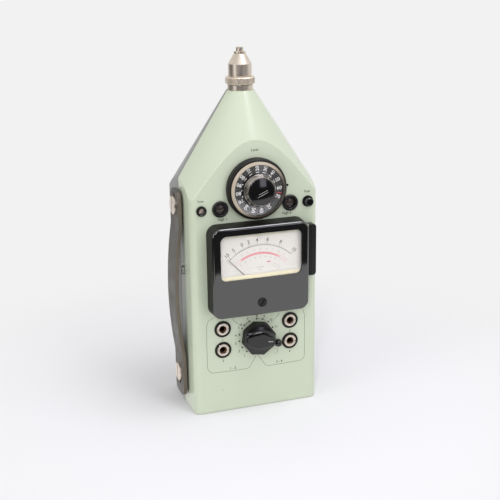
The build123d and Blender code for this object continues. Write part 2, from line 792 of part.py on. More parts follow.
with BuildPart() as adaptor_tip:
    turned(
        axis_foot,
        (insulator_radius + slip_gap, tip_low_z), (tip_stem_radius, tip_low_z),
        (tip_stem_radius, collar_top_z), (tip_radius, collar_top_z), (tip_radius, tip_top_z),
        (insulator_radius + slip_gap, tip_top_z),
    )
    for angle in (tip_slot_turn, tip_slot_turn + 90):
        slot_across(Plane.XY.offset(tip_top_z), 2 * case_depth, tip_slot, tip_slot_depth, angle)

with BuildPart() as adaptor_insulator:
    turned(
        axis_foot,
        (pin_radius + running_gap, tip_low_z), (insulator_radius, tip_low_z),
        (insulator_radius, insulator_top_z), (pin_radius + running_gap, insulator_top_z),
    )

with BuildPart() as centre_pin:
    disc(Plane.XY.offset(tip_low_z), pin_radius, pin_top_z - tip_low_z)

# ---------------------------------------------------------------- rotary switches
def rotary_switch(z, bush_height, with_nut):
    """A wafer switch behind the panel, with the bush that its concentric shafts turn in."""
    outer_hole = outer_shaft_radius + running_gap
    step = (switch_depth - switch_plate_thickness) / (switch_wafers + 1)
    with BuildPart() as switch:
        disc(on_panel(0, z, panel_in), bush_radius, bush_height + wall)
        if with_nut:
            with BuildSketch(on_panel(0, z)):
                RegularPolygon(bush_nut_radius, 6)
            extrude(amount=bush_nut_height)
        disc(on_panel(0, z, panel_in), switch_plate_radius, -switch_plate_thickness)
        disc(on_panel(0, z, panel_in - switch_depth), switch_plate_radius, switch_plate_thickness)
        for wafer in range(1, switch_wafers + 1):
            disc(on_panel(0, z, panel_in - wafer * step), switch_wafer_radius, -switch_wafer_thickness)
        disc(on_panel(0, z, bush_height), outer_hole, -switch_depth, Mode.SUBTRACT)
        disc(on_panel(0, z), inner_shaft_radius + running_gap, -case_depth / 2, Mode.SUBTRACT)
        with BuildSketch(on_panel(0, z, panel_in)):
            with PolarLocations(switch_pillar_reach, 2):
                Circle(switch_pillar_radius)
        extrude(amount=-switch_depth)
    return switch.part


attenuator_switch = rotary_switch(range_z, range_bush_height, True)
selector_switch = rotary_switch(selector_z, selector_bush_height, False)

# ---------------------------------------------------------------- range dial
range_axis = on_panel(0, range_z)
dial_bore = inner_shaft_radius + running_gap
dial_web_low = range_bush_height + slip_gap + running_gap
dial_web_high = dial_height - ring_thickness

with BuildPart() as range_dial:
    turned(
        range_axis,
        (dial_bore, -outer_shaft_depth), (outer_shaft_radius, -outer_shaft_depth),
        (outer_shaft_radius, dial_web_low), (dial_radius - dial_rim, dial_web_low),
        (dial_radius - dial_rim, dial_lift), (dial_radius, dial_lift),
        (dial_radius, dial_height - dial_bevel), (dial_radius - dial_bevel, dial_height),
        (disc_radius + slip_gap, dial_height), (disc_radius + slip_gap, dial_web_high),
        (dial_bore, dial_web_high),
    )

with BuildPart() as number_ring:
    with BuildSketch(on_panel(0, range_z, dial_web_high)):
        Circle(ring_outer_radius)
        Circle(ring_inner_radius, mode=Mode.SUBTRACT)
    extrude(amount=ring_thickness)

with BuildPart() as cursor_disc:
    turned(
        range_axis,
        (inner_shaft_radius + slip_gap, disc_low), (disc_radius, disc_low),
        (disc_radius, disc_low + disc_edge), (disc_radius - disc_bevel, disc_top),
        (inner_shaft_radius + slip_gap, disc_top),
    )

with BuildPart() as trim_ring:
    turned(
        range_axis,
        (cap_radius + running_gap, disc_top), (trim_outer_radius, disc_top),
        (trim_outer_radius, disc_top + trim_edge), (cap_radius + trim_edge, trim_top),
        (cap_radius + running_gap, trim_top),
    )

with BuildPart() as range_cap:
    turned(
        range_axis,
        (0, -inner_shaft_depth), (inner_shaft_radius, -inner_shaft_depth),
        (inner_shaft_radius, disc_top), (cap_radius, disc_top), (cap_radius, cap_top), (0, cap_top),
    )
    fillet(range_cap.faces().sort_by(Axis.Y)[0].edges(), cap_crown)

with BuildPart() as range_index:
    disc(on_panel(range_index_x, range_z, -wall / 2), range_index_radius, wall / 2 + range_index_height)
    fillet(range_index.faces().sort_by(Axis.Y)[0].edges(), range_index_radius / 3)

# ---------------------------------------------------------------- lower selector
with BuildPart() as function_lever:
    turned(
        on_panel(0, selector_z),
        (dial_bore, -outer_shaft_depth), (outer_shaft_radius, -outer_shaft_depth),
        (outer_shaft_radius, lever_lift), (lever_disc_radius, lever_lift),
        (lever_disc_radius, lever_top), (dial_bore, lever_top),
    )
    with BuildSketch(on_panel(0, selector_z, lever_lift, lever_angle)):
        with Locations(((lever_ball_reach + lever_disc_radius) / 2, 0)):
            SlotOverall(lever_ball_reach - lever_disc_radius + 2 * lever_width, lever_width)
    extrude(amount=lever_plate)

with BuildPart() as lever_ball:
    with Locations(on_panel(0, selector_z, lever_ball_height, lever_angle).location):
        with Locations((lever_ball_reach, 0, 0)):
            Sphere(lever_ball_radius)
    split(bisect_by=on_panel(0, selector_z, lever_top), keep=Keep.TOP)

def grip_section(h, length, width, end_width):
    """The grip's eight-sided section at height h: blunt ends and a crest at the middle."""
    end, crest = length / 2, grip_crest / 2
    with BuildSketch(on_panel(0, selector_z, h, knob_angle)) as section:
        with BuildLine():
            Polyline(
                (end, end_width / 2), (crest, width / 2), (-crest, width / 2), (-end, end_width / 2),
                (-end, -end_width / 2), (-crest, -width / 2), (crest, -width / 2), (end, -end_width / 2),
                close=True,
            )
        make_face()
    return section.sketch


with BuildPart() as weighting_knob:
    with BuildSketch(on_panel(0, selector_z, knob_lift, knob_angle + 22.5)):
        RegularPolygon(knob_flats / 2, 8, major_radius=False)
    extrude(amount=knob_skirt_top - knob_lift)
    # hollowed flanks rise from the skirt to the grip, a bar that is widest at its middle
    with BuildSketch(on_panel(0, selector_z, knob_skirt_top, knob_angle + 22.5)) as skirt_top:
        RegularPolygon(knob_flats / 2, 8, major_radius=False)
    waist = grip_section(knob_waist, waist_length, waist_width, waist_end_width)
    grip_top = grip_section(knob_top, grip_length, grip_width, grip_end_width)
    loft(sections=[skirt_top.sketch, waist], ruled=True)
    loft(sections=[waist, grip_top], ruled=True)
    disc(on_panel(0, selector_z, knob_lift), inner_shaft_radius, -knob_lift - inner_shaft_depth)

# ---------------------------------------------------------------- meter
with BuildPart() as meter_bezel:
    with BuildSketch(on_panel(0, bezel_z)):
        RectangleRounded(bezel_width, bezel_height, bezel_corner_radius)
    extrude(amount=bezel_proud, taper=bezel_draft)
    fillet(meter_bezel.faces().sort_by(Axis.Y)[0].edges(), bezel_edge_radius)
    with BuildSketch(on_panel(0, pocket_z)):
        RectangleRounded(pocket_width, pocket_height, pocket_corner_radius)
    extrude(amount=cavity_front_h, mode=Mode.SUBTRACT)
    with BuildSketch(on_panel(0, window_z, cavity_front_h)):
        RectangleRounded(window_width, window_height, window_corner_radius)
    extrude(amount=bezel_front_wall, mode=Mode.SUBTRACT)
    # a blind groove in the left wall and a slot through the right wall guide the scale
    with BuildSketch(on_panel(-pocket_width / 2, scale_z, scale_back_h - sliding_gap)):
        Rectangle(2 * groove_depth, scale_height + 2 * sliding_gap)
    extrude(amount=scale_thickness + 2 * sliding_gap, mode=Mode.SUBTRACT)
    with BuildSketch(on_panel(bezel_width / 2, scale_z, tongue_back_h - sliding_gap)):
        Rectangle(bezel_width - pocket_width + 2 * pocket_corner_radius, scale_height + 2 * sliding_gap)
    extrude(amount=scale_front_h - tongue_back_h + 2 * sliding_gap, mode=Mode.SUBTRACT)
    # the zero screw's thickened seat
    disc(on_panel(0, zero_z, cavity_front_h), zero_head_radius + zero_head_proud, -zero_seat)
    disc(on_panel(0, zero_z, zero_seat_h), zero_head_radius + running_gap, bezel_proud, Mode.SUBTRACT)
    disc(on_panel(0, zero_z), zero_stem_radius + running_gap, bezel_proud, Mode.SUBTRACT)

with BuildPart() as meter_window:
    with BuildSketch(on_panel(0, window_z, cavity_front_h)):
        RectangleRounded(
            window_width + 2 * pane_margin, window_height + 2 * pane_margin, window_corner_radius
        )
    extrude(amount=-pane_thickness)

with BuildPart() as meter_housing:
    with BuildSketch(on_panel(0, pocket_z)):
        RectangleRounded(housing_width, housing_height, housing_corner_radius)
    extrude(amount=-housing_depth)
    with BuildSketch(on_panel(0, pocket_z)):
        RectangleRounded(pocket_width, pocket_height, pocket_corner_radius)
    extrude(amount=housing_wall - housing_depth, mode=Mode.SUBTRACT)

with BuildPart() as movement_magnet:
    floor_h = housing_wall - housing_depth
    with BuildSketch(on_panel(0, pivot_z, floor_h)):
        Circle(magnet_radius)
        Circle(core_radius + coil_gap, mode=Mode.SUBTRACT)
    extrude(amount=magnet_length)
    # the core hangs on a web that bridges the gap clear of the coil's swing
    with BuildSketch(on_panel(0, pivot_z, floor_h + magnet_length)):
        Circle(core_radius)
        Rectangle(2 * (core_radius + coil_gap) + running_gap, core_web)
        Circle(spindle_radius + running_gap, mode=Mode.SUBTRACT)
    extrude(amount=-core_length)

with BuildPart() as moving_coil:
    coil_reach = core_radius + coil_clearance + coil_wire
    coil_plane = on_panel(0, pivot_z, core_middle_h, 90 + pointer_rest_angle)
    with BuildSketch(Plane(coil_plane.origin, x_dir=coil_plane.x_dir, z_dir=coil_plane.y_dir)):
        Rectangle(2 * coil_reach, core_length + 2 * (coil_clearance + coil_wire))
        Rectangle(2 * (coil_reach - coil_wire), core_length + 2 * coil_clearance, mode=Mode.SUBTRACT)
    extrude(amount=coil_width / 2, both=True)

with BuildPart() as pointer:
    with BuildSketch(on_panel(0, pivot_z, pointer_h, 90 + pointer_rest_angle)):
        with BuildLine():
            Polyline(
                (-pointer_tail, pointer_root_width), (-pointer_tail, -pointer_root_width),
                (0, -pointer_root_width / 2), (pointer_length, -pointer_tip_width / 2),
                (pointer_length, pointer_tip_width / 2), (0, pointer_root_width / 2), close=True,
            )
        make_face()
        Circle(hub_radius)
    extrude(amount=pointer_thickness)
    disc(on_panel(0, pivot_z, pointer_h), spindle_radius, coil_front_h - pointer_h)

with BuildPart() as scale_plate:
    left_end = sliding_gap - pocket_width / 2 - groove_depth
    with BuildSketch(on_panel((left_end + tongue_x) / 2, scale_z, scale_back_h)):
        Rectangle(tongue_x - left_end, scale_height)
    extrude(amount=scale_thickness)
    with BuildSketch(on_panel((tongue_x + scale_grip_x) / 2, scale_z, tongue_back_h)):
        Rectangle(scale_grip_x - tongue_x, scale_height)
    extrude(amount=scale_front_h - tongue_back_h)

with BuildPart() as scale_grip:
    with BuildSketch(on_panel(scale_grip_x + grip_out / 2, grip_z, grip_back_h)) as grip_outline:
        Rectangle(grip_out, grip_high_z - grip_low_z)
        fillet(grip_outline.vertices().group_by(Axis.X)[-1], grip_corner_radius)
    extrude(amount=grip_front_h - grip_back_h)
    with BuildSketch(on_panel(scale_grip_x + grip_rib_pitch * grip_ribs / 2, grip_z, grip_front_h)):
        with GridLocations(grip_rib_pitch, 0, grip_ribs, 1):
            Rectangle(grip_rib_pitch / 2, grip_high_z - grip_low_z)
    extrude(amount=-grip_rib_depth, mode=Mode.SUBTRACT)

with BuildPart() as zero_screw:
    disc(on_panel(0, zero_z, zero_seat_h), zero_head_radius, zero_head_height)
    disc(on_panel(0, zero_z, zero_seat_h), zero_stem_radius, -zero_stem_length)
    slot_across(
        on_panel(0, zero_z, zero_seat_h + zero_head_height),
        2 * zero_head_radius, screw_slot * 1.5, screw_slot, zero_slot_angle,
    )

# ---------------------------------------------------------------- small controls
def lamp_bezel(x):
    """A lamp's threaded body with its flange, a step that carries the lens, and a closed foot."""
    inner = lamp_body_radius - lamp_wall
    with BuildPart() as bezel:
        turned(
            on_panel(x, lamp_z),
            (0, -lamp_depth), (lamp_body_radius, -lamp_depth), (lamp_body_radius, 0),
            (lamp_flange_radius, 0), (lamp_flange_radius, lamp_flange_height - lamp_step),
            (lamp_flange_radius - lamp_step, lamp_flange_height), (inner + lamp_step, lamp_flange_height),
            (inner, lamp_flange_height - lamp_step), (inner, lens_seat_h), (inner - lamp_step, lens_seat_h),
            (inner - lamp_step, -lamp_depth + lamp_wall), (0, -lamp_depth + lamp_wall),
        )
    return bezel.part


def lamp_lens(x):
    """A clear lens with a crowned edge, sunk in the lamp's body."""
    with BuildPart() as lens:
        disc(on_panel(x, lamp_z, lens_seat_h), lamp_body_radius - lamp_wall - slip_gap, lens_thickness)
        fillet(lens.faces().sort_by(Axis.Y)[0].edges(), lens_crown)
    return lens.part


lamp_bezels = [lamp_bezel(x) for x in (-lamp_x, lamp_x)]
lamp_lenses = [lamp_lens(x) for x in (-lamp_x, lamp_x)]

with BuildPart() as lamp_bulbs:
    for x in (-lamp_x, lamp_x):
        disc(on_panel(x, lamp_z, lamp_wall - lamp_depth), bulb_base_radius, bulb_base_height)
        disc(
            on_panel(x, lamp_z, lamp_wall - lamp_depth + bulb_base_height),
            bulb_globe_radius, bulb_globe_height,
        )

with BuildPart() as gain_bush:
    turned(
        on_panel(-small_control_x, small_control_z),
        (gain_shaft_radius + running_gap, -gain_depth), (gain_case_radius, -gain_depth),
        (gain_case_radius, small_case_h), (gain_body_radius, small_case_h), (gain_body_radius, 0),
        (gain_flange_radius, 0), (gain_flange_radius, gain_flange_height),
        (gain_body_radius, gain_flange_height), (gain_shaft_radius + running_gap, 0),
    )

with BuildPart() as gain_shaft:
    disc(on_panel(-small_control_x, small_control_z, gain_shaft_proud), gain_shaft_radius, -gain_depth)
    slot_across(
        on_panel(-small_control_x, small_control_z, gain_shaft_proud),
        2 * gain_shaft_radius, screw_slot, screw_slot, 40,
    )

with BuildPart() as reset_switch:
    turned(
        on_panel(small_control_x, small_control_z),
        (button_radius + running_gap, wall - reset_switch_depth),
        (button_radius + running_gap, button_collar_height),
        (button_collar_radius, button_collar_height), (button_collar_radius, 0),
        (button_bush_radius, 0), (button_bush_radius, small_case_h),
        (reset_switch_radius, small_case_h), (reset_switch_radius, -reset_switch_depth),
        (0, -reset_switch_depth), (0, wall - reset_switch_depth),
    )

with BuildPart() as reset_button:
    disc(on_panel(small_control_x, small_control_z, button_proud), button_radius, -button_proud - button_stem)
    chamfer(reset_button.faces().sort_by(Axis.Y)[0].edges(), button_edge)

# ---------------------------------------------------------------- sockets
jack_places = [(x, z) for x in (-jack_x, jack_x) for z in jack_zs]
jack_nut_foot = jack_nut_height - jack_ring_height


def jack_body(x, z):
    """A moulded socket body with its black ring on the panel and a blind, stepped bore."""
    with BuildPart() as body:
        disc(on_panel(x, z), jack_ring_radius, jack_ring_height)
        chamfer(body.faces().sort_by(Axis.Y)[0].edges(), jack_ring_height / 3)
        disc(on_panel(x, z), jack_body_radius, panel_in - jack_depth)
        with BuildSketch(on_panel(x, z, -jack_nut_height)) as nut_seat:
            Circle(jack_nut_radius + slip_gap)
            Circle(jack_nut_bore - slip_gap, mode=Mode.SUBTRACT)
        extrude(nut_seat.sketch, amount=case_depth / 2, mode=Mode.SUBTRACT)
        disc(on_panel(x, z, jack_bore_foot), jack_bore_radius, case_depth / 2, Mode.SUBTRACT)
        disc(on_panel(x, z, jack_contact_foot), jack_contact_radius + slip_gap, case_depth / 2, Mode.SUBTRACT)
        disc(on_panel(x, z, jack_contact_foot), jack_tail_radius + slip_gap, -jack_depth, Mode.SUBTRACT)
    return body.part


jack_bodies = [jack_body(x, z) for x, z in jack_places]

with BuildPart() as jack_nuts:
    for x, z in jack_places:
        front = on_panel(x, z, jack_ring_height)
        disc(front, jack_nut_radius, -jack_ring_height - jack_nut_height)
        disc(front, jack_nut_bore, -case_depth / 4, Mode.SUBTRACT)
        slot_across(front, 2 * jack_nut_radius, screw_slot, screw_slot)

with BuildPart() as jack_contacts:
    for x, z in jack_places:
        disc(on_panel(x, z, jack_bore_foot), jack_contact_radius, -jack_contact_height)
        disc(
            on_panel(x, z, jack_contact_foot), jack_tail_radius,
            panel_in - jack_depth - jack_tail - jack_contact_foot,
        )

# ---------------------------------------------------------------- inside
with BuildPart() as chassis_plate:
    with BuildSketch(Plane.XZ.offset(-chassis_y - chassis_thickness)):
        with Locations((0, (chassis_low_z + chassis_high_z) / 2)):
            Rectangle(chassis_width, chassis_high_z - chassis_low_z)
    extrude(amount=chassis_thickness)
    # posts for the two boards
    with BuildSketch(Plane.XZ.offset(-chassis_y - chassis_thickness)):
        with Locations(*post_places):
            Circle(post_radius)
    extrude(amount=-board_gap)
    with BuildSketch(Plane.XZ.offset(-chassis_y - chassis_thickness)):
        with Locations(*[(x, z) for x in (-pillar_x, pillar_x) for z in pillar_zs]):
            Circle(pillar_radius / 2 + slip_gap)
    extrude(amount=chassis_thickness, mode=Mode.SUBTRACT)

with BuildPart() as chassis_pillars:
    for x in (-pillar_x, pillar_x):
        for z in pillar_zs:
            with BuildSketch(on_panel(x, z, panel_in)):
                RegularPolygon(pillar_radius, 6)
            extrude(amount=-(case_depth / 2 - wall + chassis_y))
            disc(on_panel(x, z, panel_in), pillar_radius / 2, -(case_depth / 2 - wall + chassis_y + 2 * wall))


def circuit_board(way, cans_first):
    """A board on the chassis posts, with its cans and relays soldered on the far side."""
    middle_x = way * (board_middle_gap + board_width) / 2
    middle_z = (board_low_z + board_high_z) / 2
    with BuildPart() as board:
        with BuildSketch(Plane.XZ.offset(-board_y)):
            with Locations((middle_x, middle_z)):
                Rectangle(board_width, board_high_z - board_low_z)
        extrude(amount=-board_thickness)
        with BuildSketch(Plane.XZ.offset(-board_y - board_thickness)):
            with Locations((middle_x + way * can_radius * 2, middle_z)):
                with GridLocations(0, can_pitch, 1, can_rows):
                    Circle(can_radius) if cans_first else Rectangle(2 * can_radius, 3 * can_radius)
        extrude(amount=-can_height)
        with BuildSketch(Plane.XZ.offset(-board_y - board_thickness)):
            with Locations((middle_x - way * can_radius * 2, middle_z)):
                with GridLocations(0, can_pitch, 1, can_rows):
                    Rectangle(3 * can_radius, 2 * can_radius)
        extrude(amount=-chip_height)
    return board.part


amplifier_board = circuit_board(-1, True)
filter_board = circuit_board(1, False)

with BuildPart() as battery_tray:
    # a trough open to the back, with a roof, standing on the case's floor
    with BuildSketch(Plane.YZ.offset(-tray_width / 2)):
        with Locations(((tray_front_y + tray_back_y) / 2, (tray_low_z + tray_high_z) / 2)):
            Rectangle(tray_back_y - tray_front_y, tray_high_z - tray_low_z)
    extrude(amount=tray_width)
    with BuildSketch(Plane.YZ.offset(tray_wall - tray_width / 2)):
        with Locations(((tray_front_y + tray_wall + case_depth) / 2, (tray_low_z + tray_high_z) / 2)):
            Rectangle(case_depth - tray_front_y - tray_wall, tray_high_z - tray_low_z - 2 * tray_wall)
    extrude(amount=tray_width - 2 * tray_wall, mode=Mode.SUBTRACT)
    # contact strips, riveted to the floor and the roof
    for z in (tray_low_z + tray_wall, tray_high_z - tray_wall - contact_thickness):
        with BuildSketch(Plane.XY.offset(z)):
            with Locations((0, cell_y)):
                RectangleRounded(
                    2 * cell_pitch + 2 * cell_nipple_radius, 2 * cell_nipple_radius, cell_nipple_radius / 2
                )
        extrude(amount=contact_thickness)

with BuildPart() as battery_cells:
    for place in (-1, 0, 1):
        turned(
            Plane(origin=(place * cell_pitch, cell_y, cell_low_z)),
            (0, 0), (cell_radius, 0), (cell_radius, cell_length), (cell_nipple_radius, cell_length),
            (cell_nipple_radius, cell_length + cell_nipple_height), (0, cell_length + cell_nipple_height),
        )

# ---------------------------------------------------------------- write the pieces
finished = {
    "front_shell": front_shell.part, "rear_shell": rear_shell.part, "seam_gasket": seam_gasket.part,
    "shell_screws": shell_screws.part, "battery_cover": battery_cover.part,
    "cover_screws": cover_screws.part, "tripod_bush": tripod_bush.part,
    "strap": strap.part, "strap_spacers": strap_spacers.part, "strap_screws": strap_screws.part,
    "side_stud": side_stud.part,
    "input_socket": input_socket.part, "socket_nut": socket_nut.part,
    "preamplifier": preamplifier.part, "coupling_ring": coupling_ring.part,
    "adaptor_body": adaptor_body.part, "adaptor_tip": adaptor_tip.part,
    "adaptor_insulator": adaptor_insulator.part, "centre_pin": centre_pin.part,
    "attenuator_switch": attenuator_switch, "selector_switch": selector_switch,
    "range_dial": range_dial.part, "number_ring": number_ring.part, "cursor_disc": cursor_disc.part,
    "trim_ring": trim_ring.part, "range_cap": range_cap.part, "range_index": range_index.part,
    "function_lever": function_lever.part, "lever_ball": lever_ball.part,
    "weighting_knob": weighting_knob.part,
    "meter_bezel": meter_bezel.part, "meter_window": meter_window.part,
    "meter_housing": meter_housing.part, "movement_magnet": movement_magnet.part,
    "moving_coil": moving_coil.part, "pointer": pointer.part, "scale_plate": scale_plate.part,
    "scale_grip": scale_grip.part, "zero_screw": zero_screw.part,
    "lamp_bezel_left": lamp_bezels[0], "lamp_bezel_right": lamp_bezels[1],
    "lamp_lens_left": lamp_lenses[0], "lamp_lens_right": lamp_lenses[1],
    "lamp_bulbs": lamp_bulbs.part, "gain_bush": gain_bush.part, "gain_shaft": gain_shaft.part,
    "reset_switch": reset_switch.part, "reset_button": reset_button.part,
    "jack_nuts": jack_nuts.part, "jack_contacts": jack_contacts.part,
    "chassis_plate": chassis_plate.part, "chassis_pillars": chassis_pillars.part,
    "amplifier_board": amplifier_board, "filter_board": filter_board,
    "battery_tray": battery_tray.part, "battery_cells": battery_cells.part,
}
for number, body in enumerate(jack_bodies, start=1):
    finished[f"jack_body_{number}"] = body
for name, part in finished.items():
    save(part, name)
print(len(finished), "nodes")
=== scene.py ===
# %% [markdown]
# # A hand-held sound level meter, finished in cells
#
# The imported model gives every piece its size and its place. This lesson adds what a part file
# leaves out: soft edges, printing, knurling, leather and the finish of each surface. Lengths are
# written in millimetres, as on a maker's drawing, and MM turns them into Blender's metres.

# %% The frame, and the object's box before anything is added
import json
import math

import bpy
from mathutils import Matrix, Vector


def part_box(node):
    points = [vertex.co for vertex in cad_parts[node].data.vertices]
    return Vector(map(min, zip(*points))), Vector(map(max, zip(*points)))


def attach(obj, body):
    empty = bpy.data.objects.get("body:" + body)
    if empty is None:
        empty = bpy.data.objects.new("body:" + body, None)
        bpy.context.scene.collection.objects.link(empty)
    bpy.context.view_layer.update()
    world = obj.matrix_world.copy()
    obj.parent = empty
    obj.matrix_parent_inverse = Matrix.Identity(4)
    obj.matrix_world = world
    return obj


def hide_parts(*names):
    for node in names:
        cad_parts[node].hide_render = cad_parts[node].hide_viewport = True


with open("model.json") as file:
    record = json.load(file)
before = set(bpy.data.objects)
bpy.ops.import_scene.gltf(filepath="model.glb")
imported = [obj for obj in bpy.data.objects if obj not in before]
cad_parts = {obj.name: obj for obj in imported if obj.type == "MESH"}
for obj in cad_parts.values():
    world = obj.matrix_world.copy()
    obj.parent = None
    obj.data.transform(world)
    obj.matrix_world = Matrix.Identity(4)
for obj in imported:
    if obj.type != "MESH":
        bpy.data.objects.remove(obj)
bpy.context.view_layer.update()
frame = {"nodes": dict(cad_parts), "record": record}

MM = 0.001
nodes = frame["nodes"]


# %% [markdown]
# ## Where things are
# The panel, the meter, the two switches and the sockets are read from the boxes of their nodes,
# so that what is made here stands where the part has it. The printing beside them has places of
# its own.

# %% Places read from the nodes, in millimetres
def middle(node):
    """The middle of a node's box, in mm."""
    low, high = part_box(node)
    return (Vector(low) + Vector(high)) / 2 / MM


def corners(node):
    """A node's lowest and highest corner, in mm."""
    low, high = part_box(node)
    return Vector(low) / MM, Vector(high) / MM


panel_y = corners("front_shell")[0].y
side_x = corners("front_shell")[1].x
dial_z = middle("range_dial").z
knob_z = middle("weighting_knob").z
window_low, window_high = corners("meter_window")
pane_margin, pivot_drop = 2.0, 12.8     # the pane reaches behind the frame; the axis lies below it
pivot_z = window_low.z + pane_margin - pivot_drop
lamp_x, lamp_z = middle("lamp_bezel_right").x, middle("lamp_bezel_right").z
jack_places = [(middle(f"jack_body_{n}").x, middle(f"jack_body_{n}").z) for n in (1, 2, 3, 4)]
print("panel", round(panel_y, 2), "dial", round(dial_z, 2), "knob", round(knob_z, 2),
      "pivot", round(pivot_z, 2), "lamps", round(lamp_x, 2), round(lamp_z, 2))


# %% [markdown]
# Every control is drawn lying on the ground, with its axis straight up, and is then stood on the
# panel. A matrix says where: its Z column points out of the panel, its X column to the right.

# %% Planes to stand pieces on
def on_panel(x, z, h=0.0, turn=0.0):
    """The plane at x, z on the panel, h above it, turned anticlockwise."""
    return (Matrix.Translation(Vector((x, panel_y - h, z)) * MM)
            @ Matrix.Rotation(math.radians(90), 4, "X") @ Matrix.Rotation(math.radians(turn), 4, "Z"))


def on_left(y, z, out=0.0):
    """The plane at y, z on the case's left side, its own Y up."""
    turned_left = Matrix(((0, 0, -1, 0), (-1, 0, 0, 0), (0, 1, 0, 0), (0, 0, 0, 1)))
    return Matrix.Translation(Vector((-side_x - out, y, z)) * MM) @ turned_left


def on_axis(z):
    """The level plane at height z on the neck's axis."""
    return Matrix.Translation(Vector((0, 0, z)) * MM)


# %% [markdown]
# ## Colours and nodes
# Colours are written as a paint chart gives them, as sRGB hex codes, and turned to linear light
# here. One small function adds a shader node, so that each finish reads as a recipe.

# %% Helpers for finishes
def linear(code):
    """An sRGB hex code as linear red, green, blue and alpha."""
    channels = [int(code[i:i + 2], 16) / 255 for i in (1, 3, 5)]
    return (*[c / 12.92 if c <= 0.04045 else ((c + 0.055) / 1.055) ** 2.4 for c in channels], 1.0)


def add_node(tree, kind, sockets=None, links=None, **settings):
    """Add a shader node with its settings, its sockets' values and the links that feed it."""
    made = tree.nodes.new("ShaderNode" + kind)
    for name, value in settings.items():
        setattr(made, name, value)
    for socket, value in (sockets or {}).items():
        made.inputs[socket].default_value = value
    for socket, source in (links or {}).items():
        tree.links.new(source, made.inputs[socket])
    return made


finishes = {}


def start_finish(name, colour, roughness, **sockets):
    """A material with one Principled shader. Gives its tree, shader, output and coordinates."""
    material = bpy.data.materials.new(name)
    material.use_nodes = True
    tree = material.node_tree
    tree.nodes.clear()
    values = {"Base Color": linear(colour), "Roughness": roughness}
    values.update({key.replace("_", " "): value for key, value in sockets.items()})
    shader = add_node(tree, "BsdfPrincipled", values)
    output = add_node(tree, "OutputMaterial", links={"Surface": shader.outputs[0]})
    place = add_node(tree, "TexCoord").outputs["Object"]
    finishes[name] = material
    return tree, shader, output, place


def grain_scale(size):
    """The Scale of a noise or Voronoi texture whose grains are size mm across."""
    return 1 / (size * MM)


def grain(tree, place, size, detail=2.0, **sockets):
    """The value of a noise whose grains are size mm across."""
    values = {"Scale": grain_scale(size), "Detail": detail, **sockets}
    return add_node(tree, "TexNoise", values, {"Vector": place}).outputs["Fac"]


def two_tone(tree, first, second, share):
    """Two colours mixed by a value from 0 to 1."""
    return add_node(tree, "Mix", {6: linear(first), 7: linear(second)}, {0: share},
                    data_type="RGBA").outputs[2]


def spread_over(tree, value, start, end, low, high, **settings):
    """A value's span from start to end, spread over low to high."""
    return add_node(tree, "MapRange", {1: start, 2: end, 3: low, 4: high}, {0: value},
                    **settings).outputs[0]


def raised(tree, shader, height, strength, depth, **settings):
    """Relief on a finish: depth in mm, from a height value."""
    bump = add_node(tree, "Bump", {"Strength": strength, "Distance": depth * MM},
                    {"Height": height}, **settings)
    tree.links.new(bump.outputs[0], shader.inputs["Normal"])


# %% [markdown]
# ## Satin enamel on a cast case
# The case is cast aluminium, sprayed and stoved. Stoving enamel dries with a faint orange peel,
# about 1.5 mm from crest to crest, and a satin gloss that blurs the lamps into soft streaks. The
# colour drifts a little over the case, and a few chips and dirt specks sit in it. The pale grey
# green is on the front half; the rear half is the same enamel in grey.

# %% The two enamels
def enamel(name, colour, drifted, chip, roughness):
    """A stoved enamel: drifting colour, rare specks, orange peel and a slightly uneven gloss."""
    tree, shader, _, place = start_finish(name, colour, roughness, IOR=1.5)
    paint = two_tone(tree, colour, drifted, grain(tree, place, 90))
    specks = add_node(tree, "TexVoronoi", {"Scale": grain_scale(11), "Randomness": 1.0},
                      {"Vector": place}, feature="F1")
    reach = spread_over(tree, grain(tree, place, 23), 0.56, 0.72, 0.0, 0.045)
    inside = add_node(tree, "Math", links={0: specks.outputs["Distance"], 1: reach},
                      operation="LESS_THAN")
    worn = add_node(tree, "Mix", {7: linear(chip)}, {0: inside.outputs[0], 6: paint},
                    data_type="RGBA")
    tree.links.new(worn.outputs[2], shader.inputs["Base Color"])
    gloss = spread_over(tree, grain(tree, place, 30, 4.0), 0.3, 0.7, roughness - 0.02, roughness + 0.03)
    tree.links.new(gloss, shader.inputs["Roughness"])
    raised(tree, shader, grain(tree, place, 1.5, 1.0), 0.25, 0.02)


enamel("sage_enamel", "#C2CBB4", "#BBC4AC", "#6F705F", 0.23)
enamel("grey_enamel", "#7F807D", "#797A77", "#4A4A48", 0.34)


# %% [markdown]
# ## Bakelite and moulded plastic
# The knob, the cap, the meter's surround and the sockets' rings are phenolic resin, pressed hot
# in polished dies. It is nearly black, hard and very glossy, with hair scratches from handling
# that only show in its gloss. The surround is waxed as well and mirrors more than the rest. The
# sides, drawn straight out of the die, have gone dull and brownish, and fingers have taken the
# edge off the knob's polish. The small mouldings are a softer plastic with a fine matt skin.

# %% The black mouldings
def moulding(name, colour, roughness, spread, skin, skin_depth, ior):
    """A moulded plastic: scratches in the gloss, and a skin of given size and depth in mm."""
    tree, shader, _, place = start_finish(name, colour, roughness, IOR=ior)
    stretched = add_node(tree, "Mapping", {"Scale": (1.0, 1.0, 0.12)}, {"Vector": place})
    rub = grain(tree, stretched.outputs[0], 1.2, 6.0, Roughness=0.7)
    gloss = spread_over(tree, rub, 0.35, 0.75, roughness, roughness + spread)
    tree.links.new(gloss, shader.inputs["Roughness"])
    raised(tree, shader, grain(tree, place, skin), 0.3, skin_depth)


